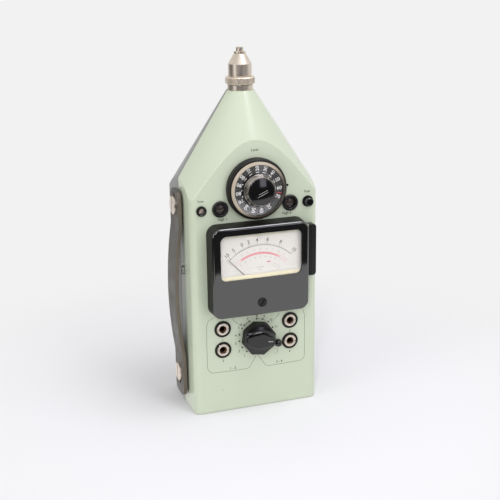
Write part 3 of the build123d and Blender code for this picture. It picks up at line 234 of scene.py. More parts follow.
moulding("black_bakelite", "#0C0C0D", 0.06, 0.09, 7.0, 0.01, 1.7)
moulding("polished_bakelite", "#0D0D0E", 0.02, 0.06, 7.0, 0.01, 2.08)
moulding("handled_bakelite", "#0C0C0D", 0.15, 0.09, 7.0, 0.01, 1.62)
moulding("dull_bakelite", "#15130F", 0.46, 0.14, 0.8, 0.01, 1.38)
moulding("black_plastic", "#141413", 0.26, 0.12, 0.5, 0.01, 1.5)
moulding("gasket_rubber", "#2B2B29", 0.70, 0.15, 0.9, 0.02, 1.5)
moulding("white_ptfe", "#DDDCD4", 0.40, 0.10, 0.8, 0.01, 1.4)
moulding("circuit_board", "#8A5A24", 0.35, 0.15, 0.6, 0.01, 1.5)
moulding("cell_jacket", "#2E3C78", 0.30, 0.15, 1.5, 0.01, 1.5)
moulding("index_white", "#141414", 0.20, 0.10, 0.8, 0.01, 1.5)    # the slot's name; the nub is black


# %% [markdown]
# ## Metals
# The socket, its ring and the adaptor are brass, turned on a lathe and nickel plated. The tool
# leaves rings round the axis, half a millimetre apart, and old nickel goes warm. Flat heads and
# nuts carry the same plating over a fine random brushing.

# %% The metals
def metal(name, colour, stained, roughness, pitch=None, ring_depth=0.004):
    """A metal with a drifting tint; with a pitch in mm, lathe rings round the upright axis."""
    tree, shader, _, place = start_finish(name, colour, roughness, Metallic=1.0)
    cloud = grain(tree, place, 4, 4.0)
    tree.links.new(two_tone(tree, colour, stained, cloud), shader.inputs["Base Color"])
    gloss = spread_over(tree, cloud, 0.3, 0.7, roughness - 0.06, roughness + 0.08)
    tree.links.new(gloss, shader.inputs["Roughness"])
    if pitch:
        height = add_node(tree, "SeparateXYZ", links={0: place})
        turns = add_node(tree, "Math", {1: 2 * math.pi / (pitch * MM)},
                         {0: height.outputs["Z"]}, operation="MULTIPLY")
        relief = add_node(tree, "Math", links={0: turns.outputs[0]}, operation="SINE").outputs[0]
    else:
        relief = grain(tree, place, 0.4)
    raised(tree, shader, relief, 0.4, ring_depth)


metal("satin_nickel", "#EEE3D7", "#DACDBE", 0.30)
metal("turned_nickel", "#E6DCCE", "#D2C5B4", 0.38, pitch=0.5)
metal("worn_nickel", "#F4EADA", "#D6C9B6", 0.52)
metal("spun_metal", "#BDB7AF", "#A69F96", 0.24)
metal("zinc_steel", "#C9C8C4", "#ADACA8", 0.32)
metal("brass", "#C9A55A", "#A98242", 0.28)
metal("copper", "#7C5A44", "#523A2B", 0.38)
metal("aluminium_plate", "#D0D0CE", "#B9B9B7", 0.35)
metal("magnet_iron", "#5A5A5A", "#4A4A48", 0.45)


# %% [markdown]
# ## Clear acrylic
# The meter's pane and the range disc are clear acrylic. It bends light a little more than water
# does, and lets nearly all of it through. A path tracer would leave everything behind the pane
# in shadow, so for shadow rays alone the acrylic gives way to a transparent shader, and the
# lamps reach the scale. The indicator lamps' lenses are so deeply smoked that nothing shows
# through them, so they are made as a glossy moulding.

# %% Clear acrylic and the lamp lenses
def clear(name, colour, roughness, ior, through):
    """A clear plastic that lets lamps through; a fine haze of wiping marks sits in its gloss."""
    tree, shader, output, place = start_finish(
        name, colour, roughness, IOR=ior, Transmission_Weight=1.0)
    haze = spread_over(tree, grain(tree, place, 9, 3.0), 0.4, 0.8, roughness, roughness + 0.03)
    tree.links.new(haze, shader.inputs["Roughness"])
    ray = add_node(tree, "LightPath").outputs["Is Shadow Ray"]
    open_air = add_node(tree, "BsdfTransparent", {"Color": linear(through)})
    mixed = add_node(tree, "MixShader", links={0: ray, 1: shader.outputs[0], 2: open_air.outputs[0]})
    tree.links.new(mixed.outputs[0], output.inputs["Surface"])


clear("clear_acrylic", "#FFFFFF", 0.01, 1.49, "#FAFAFA")
moulding("lamp_lens", "#3A322E", 0.07, 0.05, 2.0, 0.02, 1.7)


# %% [markdown]
# ## Leather
# The strap is vegetable-tanned strap leather, dyed and waxed, now grey-brown with age. Pebbled
# grain of about a millimetre covers the smooth side, made here with Voronoi cells whose borders
# sink in. The wax has gone dull in patches, and the cut edges are paler than the dyed faces.

# %% Leather
def strap_leather(name, colour, faded, roughness):
    """Waxed leather: drifting colour, dull patches and a pebbled grain about 1.1 mm across."""
    tree, shader, _, place = start_finish(name, colour, roughness, IOR=1.45)
    tone = grain(tree, place, 14, 5.0)
    tree.links.new(two_tone(tree, colour, faded, tone), shader.inputs["Base Color"])
    wax = spread_over(tree, tone, 0.3, 0.7, roughness - 0.1, roughness + 0.1)
    tree.links.new(wax, shader.inputs["Roughness"])
    pebbles = add_node(tree, "TexVoronoi", {"Scale": grain_scale(1.1)}, {"Vector": place},
                       feature="SMOOTH_F1")
    creases = grain(tree, place, 6, 8.0)
    relief = add_node(tree, "Math", links={0: pebbles.outputs["Distance"], 1: creases}, operation="ADD")
    raised(tree, shader, relief.outputs[0], 0.35, 0.12, invert=True)


strap_leather("leather", "#3D3A34", "#54504A", 0.44)
strap_leather("cut_leather", "#5A5348", "#746B5E", 0.62)


# %% [markdown]
# ## The ground rim of the disc
# The clear disc's bevel is only ground, not polished, so it scatters light. Its colour is painted light:
# a pale painted highlight towards the upper left, and a brown painted shade towards the lower right.

# %% Ground rim, with painted highlight and painted shade
tree, shader, _, place = start_finish("ground_acrylic", "#B0A490", 0.34, IOR=1.49)
# painted light: a pale painted highlight at the dial's upper left, a brown painted shade at its lower right;
# both turn with the disc
painted_light_axis = add_node(tree, "VectorMath", {1: (-0.75, 0.0, 0.66)}, {0: place}, operation="DOT_PRODUCT")
middle_up = 0.66 * dial_z          # the dial's middle, measured along that slanting direction
painted_shade_share = spread_over(tree, painted_light_axis.outputs["Value"], (middle_up - 17) * MM, (middle_up + 6) * MM, 1.0, 0.0,
                    interpolation_type="SMOOTHSTEP")
tree.links.new(two_tone(tree, "#B0A490", "#3C342C", painted_shade_share), shader.inputs["Base Color"])


# %% [markdown]
# ## The scale card and the inks
# The scale is printed on a white lacquered card, which is darker and yellower along its upper
# edge. The strip along its foot is card too, and has gone the colour of ivory all over, a little greyer
# along its top. Inks are flat and a little uneven, as silk-screen ink is.

# %% Card and inks
def lacquered_card(name, colour, stained, upper_band_colour, above):
    """Lacquered card in two shades, with a band of another colour above a height given in mm."""
    tree, shader, _, place = start_finish(name, colour, 0.42, IOR=1.45)
    height = add_node(tree, "SeparateXYZ", links={0: place}).outputs["Z"]
    edge = spread_over(tree, height, above * MM, (above + 1.2) * MM, 0.0, 1.0)
    aged = two_tone(tree, colour, stained, grain(tree, place, 25, 3.0))
    card = add_node(tree, "Mix", {7: linear(upper_band_colour)}, {0: edge, 6: aged}, data_type="RGBA")
    tree.links.new(card.outputs[2], shader.inputs["Base Color"])


lacquered_card("scale_card", "#DBD8CF", "#CFCCC2", "#C6C3AC", window_high.z - 5.6)
lacquered_card("ivory_card", "#EAE3C0", "#DED7B2", "#DDD7BA", window_low.z + 4.0)


def printing_ink(name, colour, faded):
    """Silk-screen ink, thinner in places."""
    tree, shader, _, place = start_finish(name, colour, 0.5, IOR=1.45)
    lay = two_tone(tree, colour, faded, grain(tree, place, 1.5, 3.0))
    tree.links.new(lay, shader.inputs["Base Color"])


printing_ink("black_ink", "#141512", "#2A2C26")
printing_ink("white_ink", "#F2F1EA", "#DEDDD4")
printing_ink("red_ink", "#B8232C", "#C8404A")
printing_ink("faded_red_ink", "#CF7C80", "#D89A9A")
printing_ink("grey_ink", "#6C7076", "#8A8E93")
printing_ink("dial_print", "#0D0D0D", "#151513")
printing_ink("pointer_black", "#0C0C0C", "#161616")
print("finishes", len(finishes))


# %% [markdown]
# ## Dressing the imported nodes
# A node keeps the exact form of the part. It only needs its finish, which the record names in a
# material slot. Where an edge or a shape shows, a piece made below takes the node's place.

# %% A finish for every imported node
for entry in frame["record"]["subparts"]:
    name, slot_name = entry.get("node") or entry.get("name"), entry["material_slot"]
    nodes[name].data.materials.clear()
    nodes[name].data.materials.append(finishes[slot_name])


# %% [markdown]
# ## The bench tools
# Small helpers do the work of a shop. `turned` is the lathe: a circle is drawn up through an
# outline, its radius changed at each step. `block` and `cut_away` are the saw. `eased` breaks
# sharp edges, because nothing real has a perfectly sharp edge, and it is the bright line along an
# edge that tells the eye what the material is. `softened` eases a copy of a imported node, and
# `hand_over` gives a finished piece its surface and its place in the part.

# %% Helpers for modelling
def only(piece):
    """Select one piece alone and make it the active one."""
    bpy.ops.object.select_all(action="DESELECT")
    piece.select_set(True)
    bpy.context.view_layer.objects.active = piece


def eased(piece, width, segments=2, angle=28):
    """Round the edges sharper than angle, width mm wide, and shade the faces smooth."""
    only(piece)
    if width:
        bevel = piece.modifiers.new("eased", "BEVEL")
        bevel.limit_method, bevel.angle_limit = "ANGLE", math.radians(angle)
        bevel.width, bevel.segments, bevel.harden_normals = width * MM, segments, False
        bpy.ops.object.modifier_apply(modifier=bevel.name)
    bpy.ops.object.shade_smooth_by_angle(angle=math.radians(max(angle, 30)))
    level = piece.modifiers.new("level", "WEIGHTED_NORMAL")
    level.keep_sharp, level.weight = True, 80
    bpy.ops.object.modifier_apply(modifier=level.name)
    return piece


def turned(name, plane, outline, segments=96, ring=False):
    """A turned piece: outline gives (radius, height) in mm from its foot up, along plane's Z."""
    radius, height = outline[0]
    bpy.ops.object.select_all(action="DESELECT")
    bpy.ops.mesh.primitive_circle_add(vertices=segments, radius=radius * MM)
    piece = bpy.context.object
    piece.name = piece.data.name = name
    piece.data.transform(Matrix.Translation((0, 0, height * MM)))
    bpy.ops.object.mode_set(mode="EDIT")
    bpy.ops.mesh.select_mode(type="VERT")
    bpy.ops.mesh.select_all(action="SELECT")
    for next_radius, next_height in outline[1:]:
        bpy.ops.mesh.extrude_region_move(
            TRANSFORM_OT_translate={"value": (0, 0, (next_height - height) * MM)})
        share = next_radius / radius
        bpy.ops.transform.resize(value=(share, share, 1), center_override=(0, 0, next_height * MM))
        radius, height = next_radius, next_height
    bpy.ops.mesh.select_all(action="SELECT")
    if ring:
        bpy.ops.mesh.remove_doubles(threshold=0.002 * MM)
    else:
        bpy.ops.mesh.select_non_manifold()
        bpy.ops.mesh.fill_holes(sides=0)
        bpy.ops.mesh.select_all(action="SELECT")
    bpy.ops.mesh.normals_make_consistent(inside=False)
    bpy.ops.object.mode_set(mode="OBJECT")
    piece.data.transform(plane)
    return piece


def rounded_rim(radius, top, rim, angles):
    """Points for the lathe round a rim's arc, at angles in degrees."""
    return [(radius - rim + rim * math.cos(a), top - rim + rim * math.sin(a))
            for a in map(math.radians, angles)]


def block(name, plane, low, high):
    """A block between two corners in mm, measured on a plane."""
    bpy.ops.object.select_all(action="DESELECT")
    bpy.ops.mesh.primitive_cube_add(size=1)
    piece = bpy.context.object
    piece.name = piece.data.name = name
    size, centre = Vector(high) - Vector(low), (Vector(high) + Vector(low)) / 2
    piece.data.transform(plane @ Matrix.Translation(centre * MM) @ Matrix.Diagonal((*(size * MM), 1)))
    return piece


def cut_away(piece, tool):
    """Cut the tool's form out of a piece and throw the tool away."""
    only(piece)
    cut = piece.modifiers.new("cut", "BOOLEAN")
    cut.operation, cut.solver, cut.object = "DIFFERENCE", "EXACT", tool
    bpy.ops.object.modifier_apply(modifier=cut.name)
    bpy.data.objects.remove(tool)


def hand_over(piece, finish, body, *stands_for, slot_name=None):
    """Give a piece its finish and its body, and hide the nodes it stands for; slot_name is not used."""
    piece.data.materials.clear()
    piece.data.materials.append(finishes[finish])
    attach(piece, body)
    if stands_for:
        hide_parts(*stands_for)
    return piece


def softened(node, width, finish, body="case", segments=2, angle=28, dissolve=0.5):
    """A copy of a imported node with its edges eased."""
    mesh = nodes[node].data.copy()
    piece = bpy.data.objects.new(node + "_finished", mesh)
    mesh.name = piece.name
    bpy.context.scene.collection.objects.link(piece)
    only(piece)
    bpy.ops.object.mode_set(mode="EDIT")
    bpy.ops.mesh.select_all(action="SELECT")
    bpy.ops.mesh.remove_doubles(threshold=0.001 * MM)
    bpy.ops.mesh.dissolve_limited(angle_limit=math.radians(dissolve))
    bpy.ops.mesh.select_all(action="SELECT")
    bpy.ops.mesh.normals_make_consistent(inside=False)
    bpy.ops.object.mode_set(mode="OBJECT")
    eased(piece, width, segments, angle)
    return hand_over(piece, finish, body, node)


def dull_sides(piece):
    """Give a moulding's sides, which face across the panel, the duller finish of a drawn side."""
    piece.data.materials.append(finishes["dull_bakelite"])
    for face in piece.data.polygons:
        if abs(face.normal.y) < 0.35:
            face.material_index = 1
    return piece


# %% [markdown]
# ## The coupling ring
# The ring that draws the adaptor down is turned brass with a straight knurl, rolled in to give
# the fingers a grip. It could be a bump in the finish, but a knurl this near the top of the
# object breaks the outline, so it is modelled. The lathe makes the ring with three faces to each
# tooth, and one face in three is then pressed in towards the axis.

# %% Coupling ring with a straight knurl
import bmesh


def pick(piece, kind, test):
    """In edit mode, select the vertices, edges or faces that pass a test of where they are."""
    bpy.ops.mesh.select_mode(type={"verts": "VERT", "edges": "EDGE", "faces": "FACE"}[kind])
    bpy.ops.mesh.select_all(action="DESELECT")
    form = bmesh.from_edit_mesh(piece.data)
    chosen = [part for part in getattr(form, kind) if test(part)]
    for part in chosen:
        part.select = True
    form.select_flush(True)
    bmesh.update_edit_mesh(piece.data)
    return len(chosen)


ring_low, ring_high = corners("coupling_ring")
ring_radius, ring_height = ring_high.x, ring_high.z - ring_low.z
teeth, knurl_depth, edge = 90, 0.28, 0.9
knurled = turned("coupling_ring_knurled", Matrix.Identity(4), [
    (11.1, 0), (ring_radius - edge, 0), (ring_radius, edge), (ring_radius, ring_height - edge),
    (ring_radius - edge, ring_height), (9.8, ring_height), (9.8, ring_height - 2.2),
    (11.1, ring_height - 2.2), (11.1, 0)], segments=3 * teeth, ring=True)
only(knurled)
bpy.ops.object.mode_set(mode="EDIT")


def in_groove(face):
    """One face in three round the outer wall."""
    spot = face.calc_center_median()
    if abs(face.normal.z) > 0.1 or math.hypot(spot.x, spot.y) < (ring_radius - 0.3) * MM:
        return False
    return int(round(math.degrees(math.atan2(spot.y, spot.x)) * teeth / 120 - 0.5)) % 3 == 0


grooves = pick(knurled, "faces", in_groove)
share = 1 - knurl_depth / ring_radius
bpy.ops.transform.resize(value=(share, share, 1), center_override=(0, 0, 0))
bpy.ops.object.mode_set(mode="OBJECT")
knurled.data.transform(on_axis(ring_low.z))
eased(knurled, 0)
hand_over(knurled, "worn_nickel", "coupling_ring", "coupling_ring", slot_name="satin_nickel")
print("knurl grooves", grooves, "pitch mm", round(2 * math.pi * ring_radius / teeth, 2))


# %% [markdown]
# ## The socket and the adaptor
# Both are plain turnings and the nut is a plain hexagon, so their packed forms are already
# right. A copy with its edges broken by a quarter of a millimetre or less, as a turner does with
# a file, catches the lamps along each shoulder.

# %% Turned parts of the neck
for node, width, finish in (("input_socket", 0.25, "turned_nickel"), ("socket_nut", 0.2, "turned_nickel"),
                            ("adaptor_body", 0.2, "turned_nickel"), ("adaptor_tip", 0.12, "turned_nickel")):
    softened(node, width, finish)
softened("adaptor_insulator", 0, "white_ptfe")
softened("centre_pin", 0.1, "satin_nickel")


# %% [markdown]
# ## The weighting knob
# A pressed Bakelite knob: an eight-sided skirt, hollow flanks and a bar to grip, widest at its
# middle. Its eight corners run all the way up, so it starts as a circle of eight points. Each
# level is extruded from the last and drawn in: the corners at the ends and the corners beside
# the crest are picked by place and scaled on their own. Subdivision then rounds the flanks, and
# a crease keeps the skirt and the outline of the crest sharp.

# %% Weighting knob
knob_turn, knob_foot, skirt_top, knob_crest = -8.6, 2.0, 9.8, 15.0
half_flats, half_side = 14.7, 6.09         # of the skirt, across its flats and along one of them
knob_levels = [    # height, half length, half width at the ends, half the crest, half width there
    (knob_foot, half_flats, half_side, half_side, half_flats),
    (skirt_top, half_flats, half_side, half_side, half_flats), (10.2, 14.35, 5.7, 4.2, 12.4),
    (10.7, 14.1, 5.4, 2.4, 10.4), (11.4, 13.95, 5.0, 1.2, 8.6), (12.8, 13.75, 4.0, 1.0, 7.3),
    (knob_crest, 13.5, 2.8, 1.0, 6.4)]
bpy.ops.object.select_all(action="DESELECT")
bpy.ops.mesh.primitive_circle_add(vertices=8, radius=half_flats / math.cos(math.radians(22.5)) * MM)
knob = bpy.context.object
knob.name = knob.data.name = "weighting_knob_pressed"
knob.data.transform(Matrix.Translation((0, 0, knob_foot * MM))
                    @ Matrix.Rotation(math.radians(22.5), 4, "Z"))
bpy.ops.object.mode_set(mode="EDIT")
bpy.ops.mesh.select_mode(type="VERT")
bpy.ops.mesh.select_all(action="SELECT")
for below, level in zip(knob_levels, knob_levels[1:]):
    height = level[0] * MM
    bpy.ops.mesh.extrude_region_move(
        TRANSFORM_OT_translate={"value": (0, 0, (level[0] - below[0]) * MM)})
    for at_ends, was, now in ((True, below[1:3], level[1:3]), (False, below[3:5], level[3:5])):
        pick(knob, "verts", lambda v: abs(v.co.z - height) < 1e-6
             and (abs(v.co.x) > 10 * MM) == at_ends)
        bpy.ops.transform.resize(value=(now[0] / was[0], now[1] / was[1], 1),
                                 center_override=(0, 0, height))
    pick(knob, "verts", lambda v: abs(v.co.z - height) < 1e-6)
bpy.ops.mesh.select_mode(type="EDGE")
bpy.ops.mesh.select_non_manifold()
bpy.ops.mesh.fill_holes(sides=0)
bpy.ops.mesh.select_all(action="SELECT")
bpy.ops.mesh.normals_make_consistent(inside=False)
pick(knob, "edges", lambda e: max(v.co.z for v in e.verts) < (skirt_top + 0.1) * MM
     or min(v.co.z for v in e.verts) > (knob_crest - 0.1) * MM)
bpy.ops.transform.edge_crease(value=1.0)
pick(knob, "verts", lambda v: v.co.z > (knob_crest - 0.1) * MM)
bpy.ops.transform.vert_crease(value=1.0)
bpy.ops.object.mode_set(mode="OBJECT")
knob.data.transform(on_panel(0, knob_z, 0, knob_turn))
rounding = knob.modifiers.new("rounded", "SUBSURF")
rounding.levels = rounding.render_levels = 2
bpy.ops.object.modifier_apply(modifier=rounding.name)
eased(knob, 0.16, segments=2, angle=24)
shaft = turned("knob_shaft", on_panel(0, knob_z), [(2.95, -25.0), (2.95, 2.5)], segments=48)
hand_over(knob, "handled_bakelite", "weighting_knob", "weighting_knob")
dull_sides(knob)
hand_over(shaft, "zinc_steel", "weighting_knob", slot_name="black_bakelite")
print("knob faces", len(knob.data.polygons))


# %% [markdown]
# ## The range dial
# A black disc that carries the numbers, a clear disc over it with a wide ground bevel, a bright
# spun ring and a Bakelite cap. Each is a turning of its own, so the clear disc bends what is
# seen through it, and the bright ring mirrors the room.

# %% The discs, the ring and the cap
dial_top = panel_y - corners("number_ring")[0].y
disc_low, disc_high = corners("cursor_disc")
disc_foot, disc_top = panel_y - disc_high.y, panel_y - disc_low.y
disc_radius = disc_high.x
softened("range_dial", 0.5, "dull_bakelite", "range_dial", segments=3)
softened("number_ring", 0.1, "dial_print", "range_dial")
cap_low, cap_high = corners("range_cap")
cap_top, cap_radius = panel_y - cap_low.y, cap_high.x
hole = cap_radius + 0.05
bevel_width = 2.4
cursor = turned("cursor_disc_polished", on_panel(0, dial_z, 0), [
    (hole, disc_foot), (disc_radius - 0.15, disc_foot), (disc_radius, disc_foot + 0.15),
    (disc_radius, disc_top - 2.3), (disc_radius - bevel_width, disc_top - 0.9), (14.9, disc_top),
    (hole, disc_top), (hole, disc_foot)], segments=128, ring=True)
eased(cursor, 0.12, segments=2, angle=25)
hand_over(cursor, "clear_acrylic", "range_cursor", "cursor_disc")
# the ground bevel carries the painted highlight and painted shade
cursor.data.materials.append(finishes["ground_acrylic"])
for face in cursor.data.polygons:
    x, z = face.center.x / MM, face.center.z / MM - dial_z
    if math.hypot(x, z) > disc_radius - bevel_width + 0.1 and panel_y - face.center.y / MM > disc_foot + 0.3:
        face.material_index = 1
cone_foot, cone_top = disc_top, panel_y - corners("trim_ring")[0].y
spun = turned("trim_ring_spun", on_panel(0, dial_z), [
    (hole, cone_foot), (14.75, cone_foot), (14.8, cone_foot + 0.35), (14.55, cone_foot + 0.6),
    (cap_radius + 0.55, cone_top - 0.15), (cap_radius + 0.35, cone_top), (hole, cone_top),
    (hole, cone_foot)], segments=128, ring=True)
eased(spun, 0.08, segments=2, angle=35)
hand_over(spun, "spun_metal", "range_cursor", "trim_ring", slot_name="satin_nickel")
print("hole", round(hole, 2), "cone", round(cone_foot, 2), "to", round(cone_top, 2))


# %% [markdown]
# The cap is domed by about a millimetre, and the dome makes a small mirror of the room: the
# window above its middle, the pale table below. Its rim is rounded by an arc drawn point by
# point. A low bar lies across it, pressed in the same mould.

# %% Range cap with its bar
cap_foot, rim, dome = disc_foot, 0.9, 63.0
dome_reach, crown = cap_radius - rim, cap_top - 0.05
rim_top = crown - (dome - math.sqrt(dome ** 2 - dome_reach ** 2))
cap_outline = [(cap_radius - 0.01, cap_foot), (cap_radius - 0.01, rim_top - rim)]
cap_outline += rounded_rim(cap_radius, rim_top, rim, range(13, 79, 13))
cap_outline += [(r, crown - (dome - math.sqrt(dome ** 2 - r ** 2)))
                for r in (10.6, 9.6, 8.4, 7.2, 6.0, 4.8, 3.6, 2.4, 1.2, 0.3)]
cap = turned("range_cap_pressed", on_panel(0, dial_z), cap_outline, segments=128)
eased(cap, 0, angle=60)
hand_over(cap, "black_bakelite", "range_cursor", "range_cap")
cap_turn, off_middle = 24.0, Matrix.Translation((0, -1.9 * MM, 0))
bar = block("range_cap_bar", on_panel(0, dial_z, 0, cap_turn) @ off_middle,
            (-5.9, -1.15, cap_top - 0.9), (5.7, 1.15, crown))
eased(bar, 0.3, segments=3)
hand_over(bar, "black_bakelite", "range_cursor")
bar_plane = on_panel(0, dial_z, crown, cap_turn) @ off_middle
print("cap", len(cap.data.polygons), "faces, rim at", round(rim_top, 2))


# %% [markdown]
# ## Slotted heads
# The strap is held by two broad nickel-plated heads. A head is a turning with a rounded rim, and
# its slot is cut the way a saw cuts it: a block laid across the head is taken away from it.

# %% Strap screws and the side stud
def slotted(name, plane, radius, head, slot_width, slot_depth, rim, shank):
    """A round screw head on a plane, with a slot along the plane's Y and a shank behind it."""
    outline = [(shank[0], -shank[1]), (shank[0], 0), (radius, 0), (radius, head - rim)]
    outline += rounded_rim(radius, head, rim, (22.5, 45.0, 67.5, 90.0))
    outline += [(radius * 0.5, head), (0.3, head)]
    made = turned(name, plane, outline, segments=72)
    saw = block(name + "_saw", plane, (-slot_width / 2, -radius - 1, head - slot_depth),
                (slot_width / 2, radius + 1, head + 1))
    cut_away(made, saw)
    return eased(made, 0.12, segments=2, angle=35)


screw_low, screw_high = corners("strap_screws")
screw_out = -side_x - screw_low.x          # the heads' tops, out from the side
strap_y = (screw_low.y + screw_high.y) / 2
screw_radius = (screw_high.y - screw_low.y) / 2
screw_heights = (screw_low.z + screw_radius, screw_high.z - screw_radius)
head = 2.2
screws = [slotted(f"strap_screw_{n}", on_left(strap_y, z, screw_out - head), screw_radius, head,
                  slot_width=1.6, slot_depth=1.0, rim=0.7, shank=(2.4, 10.0))
          for n, z in enumerate(screw_heights)]
hand_over(screws[0], "satin_nickel", "case", "strap_screws")
hand_over(screws[1], "satin_nickel", "case")
softened("side_stud", 0.25, "zinc_steel")


# %% [markdown]
# ## The strap
# Cut from one strip and screwed down near both ends, the strap bows out from the case. The copy
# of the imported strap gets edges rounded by 0.6 mm, as an edge slicker leaves them. Its two long
# edges were cut after dyeing, so they get the paler leather.

# %% Strap and spacers
strap = softened("strap", 0.6, "leather", segments=3)
strap.data.materials.append(finishes["cut_leather"])
for face in strap.data.polygons:
    if abs(face.normal.y) > 0.6:
        face.material_index = 1
softened("strap_spacers", 0.2, "black_plastic")
print("strap faces", len(strap.data.polygons))


# %% [markdown]
# ## The meter's surround and the small mouldings
# The surround was pressed in one piece, so its edges are rounded. The grip that draws the scale
# out, the zero screw, the lever and the push button are black too, but duller. What the part
# file already rounds is only shaded smooth.

# %% Meter, lever and push button
surround = dull_sides(softened("meter_bezel", 0.6, "polished_bakelite", segments=3, angle=50))
softened("scale_grip", 0.7, "black_plastic", "scale_slide", segments=3)
softened("zero_screw", 0.18, "black_plastic", "zero_adjuster")
softened("function_lever", 0.25, "black_bakelite", "function_lever")
softened("lever_ball", 0.0, "handled_bakelite", "function_lever", angle=40)
softened("gain_bush", 0.2, "black_plastic")
softened("gain_shaft", 0.15, "satin_nickel", "gain_adjuster")
softened("reset_switch", 0.2, "black_plastic")
softened("reset_button", 0.3, "black_bakelite", "reset_button")
softened("range_index", 0.1, "index_white")
print("surround faces", len(surround.data.polygons))


# %% [markdown]
# ## Sockets
# Four sockets take round plugs. Each is a black ring with a nickel nut let into it. The nut has
# two short slots for a fork spanner, and its bore is funnelled so that a plug finds its way in.
# One nut is made and then copied, each copy with a mesh of its own.

# %% Nuts and black rings
nut_top = panel_y - corners("jack_nuts")[0].y
socket_foot = panel_y - corners("jack_body_1")[1].y + 0.2
nut_foot = nut_top - 2.6
nut_bore, nut_radius, slot_reach = 3.4, 5.85, 4.4
plug_bore, socket_radius, flange, lining_bore = 2.65, 6.8, 7.8, 2.3
first_nut = turned("jack_nut_1", Matrix.Identity(4), [
    (nut_bore, nut_foot), (nut_radius, nut_foot), (nut_radius, nut_top - 0.35), (5.6, nut_top - 0.1),
    (5.3, nut_top), (3.9, nut_top), (3.6, nut_top - 0.12), (nut_bore, nut_top - 0.4),
    (nut_bore, nut_foot)], segments=72, ring=True)
for side in (-1, 1):
    inner, outer = sorted((side * slot_reach, side * 7))
    saw = block("fork_slot", Matrix.Identity(4), (inner, -0.35, nut_top - 0.7), (outer, 0.35, nut_top + 1))
    cut_away(first_nut, saw)
eased(first_nut, 0.06, segments=2, angle=35)
for number, (x, z) in enumerate(jack_places):
    nut = first_nut.copy()
    nut.data = first_nut.data.copy()
    nut.name = nut.data.name = f"jack_nut_finished_{number + 1}"
    bpy.context.scene.collection.objects.link(nut)
    nut.data.transform(on_panel(x, z, 0, (4, -3, 2, -6)[number]))
    hand_over(nut, "satin_nickel", "case", *(["jack_nuts"] if number == 0 else []))
    socket = turned(f"jack_body_finished_{number + 1}", on_panel(x, z), [
        (plug_bore, socket_foot), (socket_radius, socket_foot), (socket_radius, 0), (flange, 0),
        (flange, 0.9), (7.6, 1.25), (7.2, 1.4), (5.95, 1.4), (5.95, nut_foot), (3.3, nut_foot),
        (3.3, nut_top - 0.9), (3.15, nut_top - 0.7), (plug_bore, nut_top - 1.9),
        (plug_bore, socket_foot)], segments=72, ring=True)
    hand_over(eased(socket, 0.08, angle=40), "dull_bakelite", "case", f"jack_body_{number + 1}")
    lining = turned(f"jack_lining_{number + 1}", on_panel(x, z), [
        (lining_bore, socket_foot), (2.62, socket_foot), (2.62, nut_top - 2.0), (3.05, nut_top - 1.25),
        (2.9, nut_top - 1.2), (lining_bore, nut_top - 1.7), (lining_bore, socket_foot)],
        segments=48, ring=True)
    hand_over(eased(lining, 0, angle=40), "copper", "case")
bpy.data.objects.remove(first_nut)


# %% [markdown]
# ## Indicator lamps
# A black bezel holds a small smoky lens. The lens is a dome with a ring moulded round it, and
# each of them mirrors the lamps of the room for itself.

# %% Lamp bezels and lenses
for side, name in ((-1, "left"), (1, "right")):
    softened(f"lamp_bezel_{name}", 0.3, "black_plastic", segments=3)
    lens_low, lens_high = corners(f"lamp_lens_{name}")
    lens_top, lens_radius = panel_y - lens_low.y, (lens_high.x - lens_low.x) / 2
    outline = [(lens_radius - 0.02, lens_top - 1.6), (lens_radius - 0.02, lens_top - 1.1),
               (lens_radius - 0.5, lens_top - 0.75), (lens_radius - 0.8, lens_top - 1.0)]
    dome = lens_radius - 0.8
    outline += [(dome * math.cos(a), lens_top - 1.0 + 0.95 * math.sin(a))
                for a in (math.radians(step * 15) for step in range(1, 6))] + [(0.15, lens_top - 0.05)]
    lens = turned(f"lamp_lens_{name}_domed", on_panel(side * lamp_x, lamp_z), outline, segments=64)
    eased(lens, 0, angle=50)
    hand_over(lens, "lamp_lens", "case", f"lamp_lens_{name}")
print("lens radius", round(lens_radius, 2))


# %% [markdown]
# ## Back and seams
# The back carries the battery cover with its two slotted screws, the tripod bush and the slotted
# screws of the case. They are eased like the rest, because the object will be turned round.

# %% Pieces of the back
softened("battery_cover", 0.35, "grey_enamel", segments=3)
softened("cover_screws", 0.25, "satin_nickel")
softened("tripod_bush", 0.2, "brass")
softened("shell_screws", 0.15, "zinc_steel")


# %% [markdown]
# ## Printing
# Everything printed on the instrument is silk-screened ink, a few hundredths of a millimetre
# thick. Image textures would blur close up, so each mark is real geometry: letters are text
# objects made into meshes, dots are small discs, and lines are ribbons drawn through points.
# They stand a hair above their surface, and are joined by ink and by the body they ride on.

# %% Helpers for printing
printed = {}
INK = 0.03          # mm that ink stands above its surface


def keep_print(piece, ink, body):
    """Put a printed mark with the others of its ink and body."""
    printed.setdefault((ink, body), []).append(piece)


def lettered(text, plane, height, ink, body="case", bold=0.0, span=None):
    """Text centred on a plane, height mm tall over its capitals and, if given, span mm long."""
    bpy.ops.object.text_add()
    piece = bpy.context.object
    piece.data.body, piece.data.size = text, height / 0.69 * MM
    piece.data.align_x, piece.data.align_y = "CENTER", "BOTTOM_BASELINE"
    piece.data.offset, piece.data.resolution_u = bold * MM, 3
    only(piece)
    bpy.ops.object.convert(target="MESH")
    piece = bpy.context.object
    xs = [vertex.co.x for vertex in piece.data.vertices]
    stretch = span * MM / (max(xs) - min(xs)) if span else 1.0
    piece.data.transform(plane @ Matrix.Diagonal((stretch, 1, 1, 1))
                         @ Matrix.Translation((-(max(xs) + min(xs)) / 2, -height / 2 * MM, INK * MM)))
    keep_print(piece, ink, body)


def dot(plane, radius, ink, body="case"):
    """A printed dot at a plane's origin."""
    bpy.ops.mesh.primitive_circle_add(vertices=20, radius=radius * MM, fill_type="NGON")
    piece = bpy.context.object
    piece.data.transform(plane @ Matrix.Translation((0, 0, INK * MM)))
    keep_print(piece, ink, body)


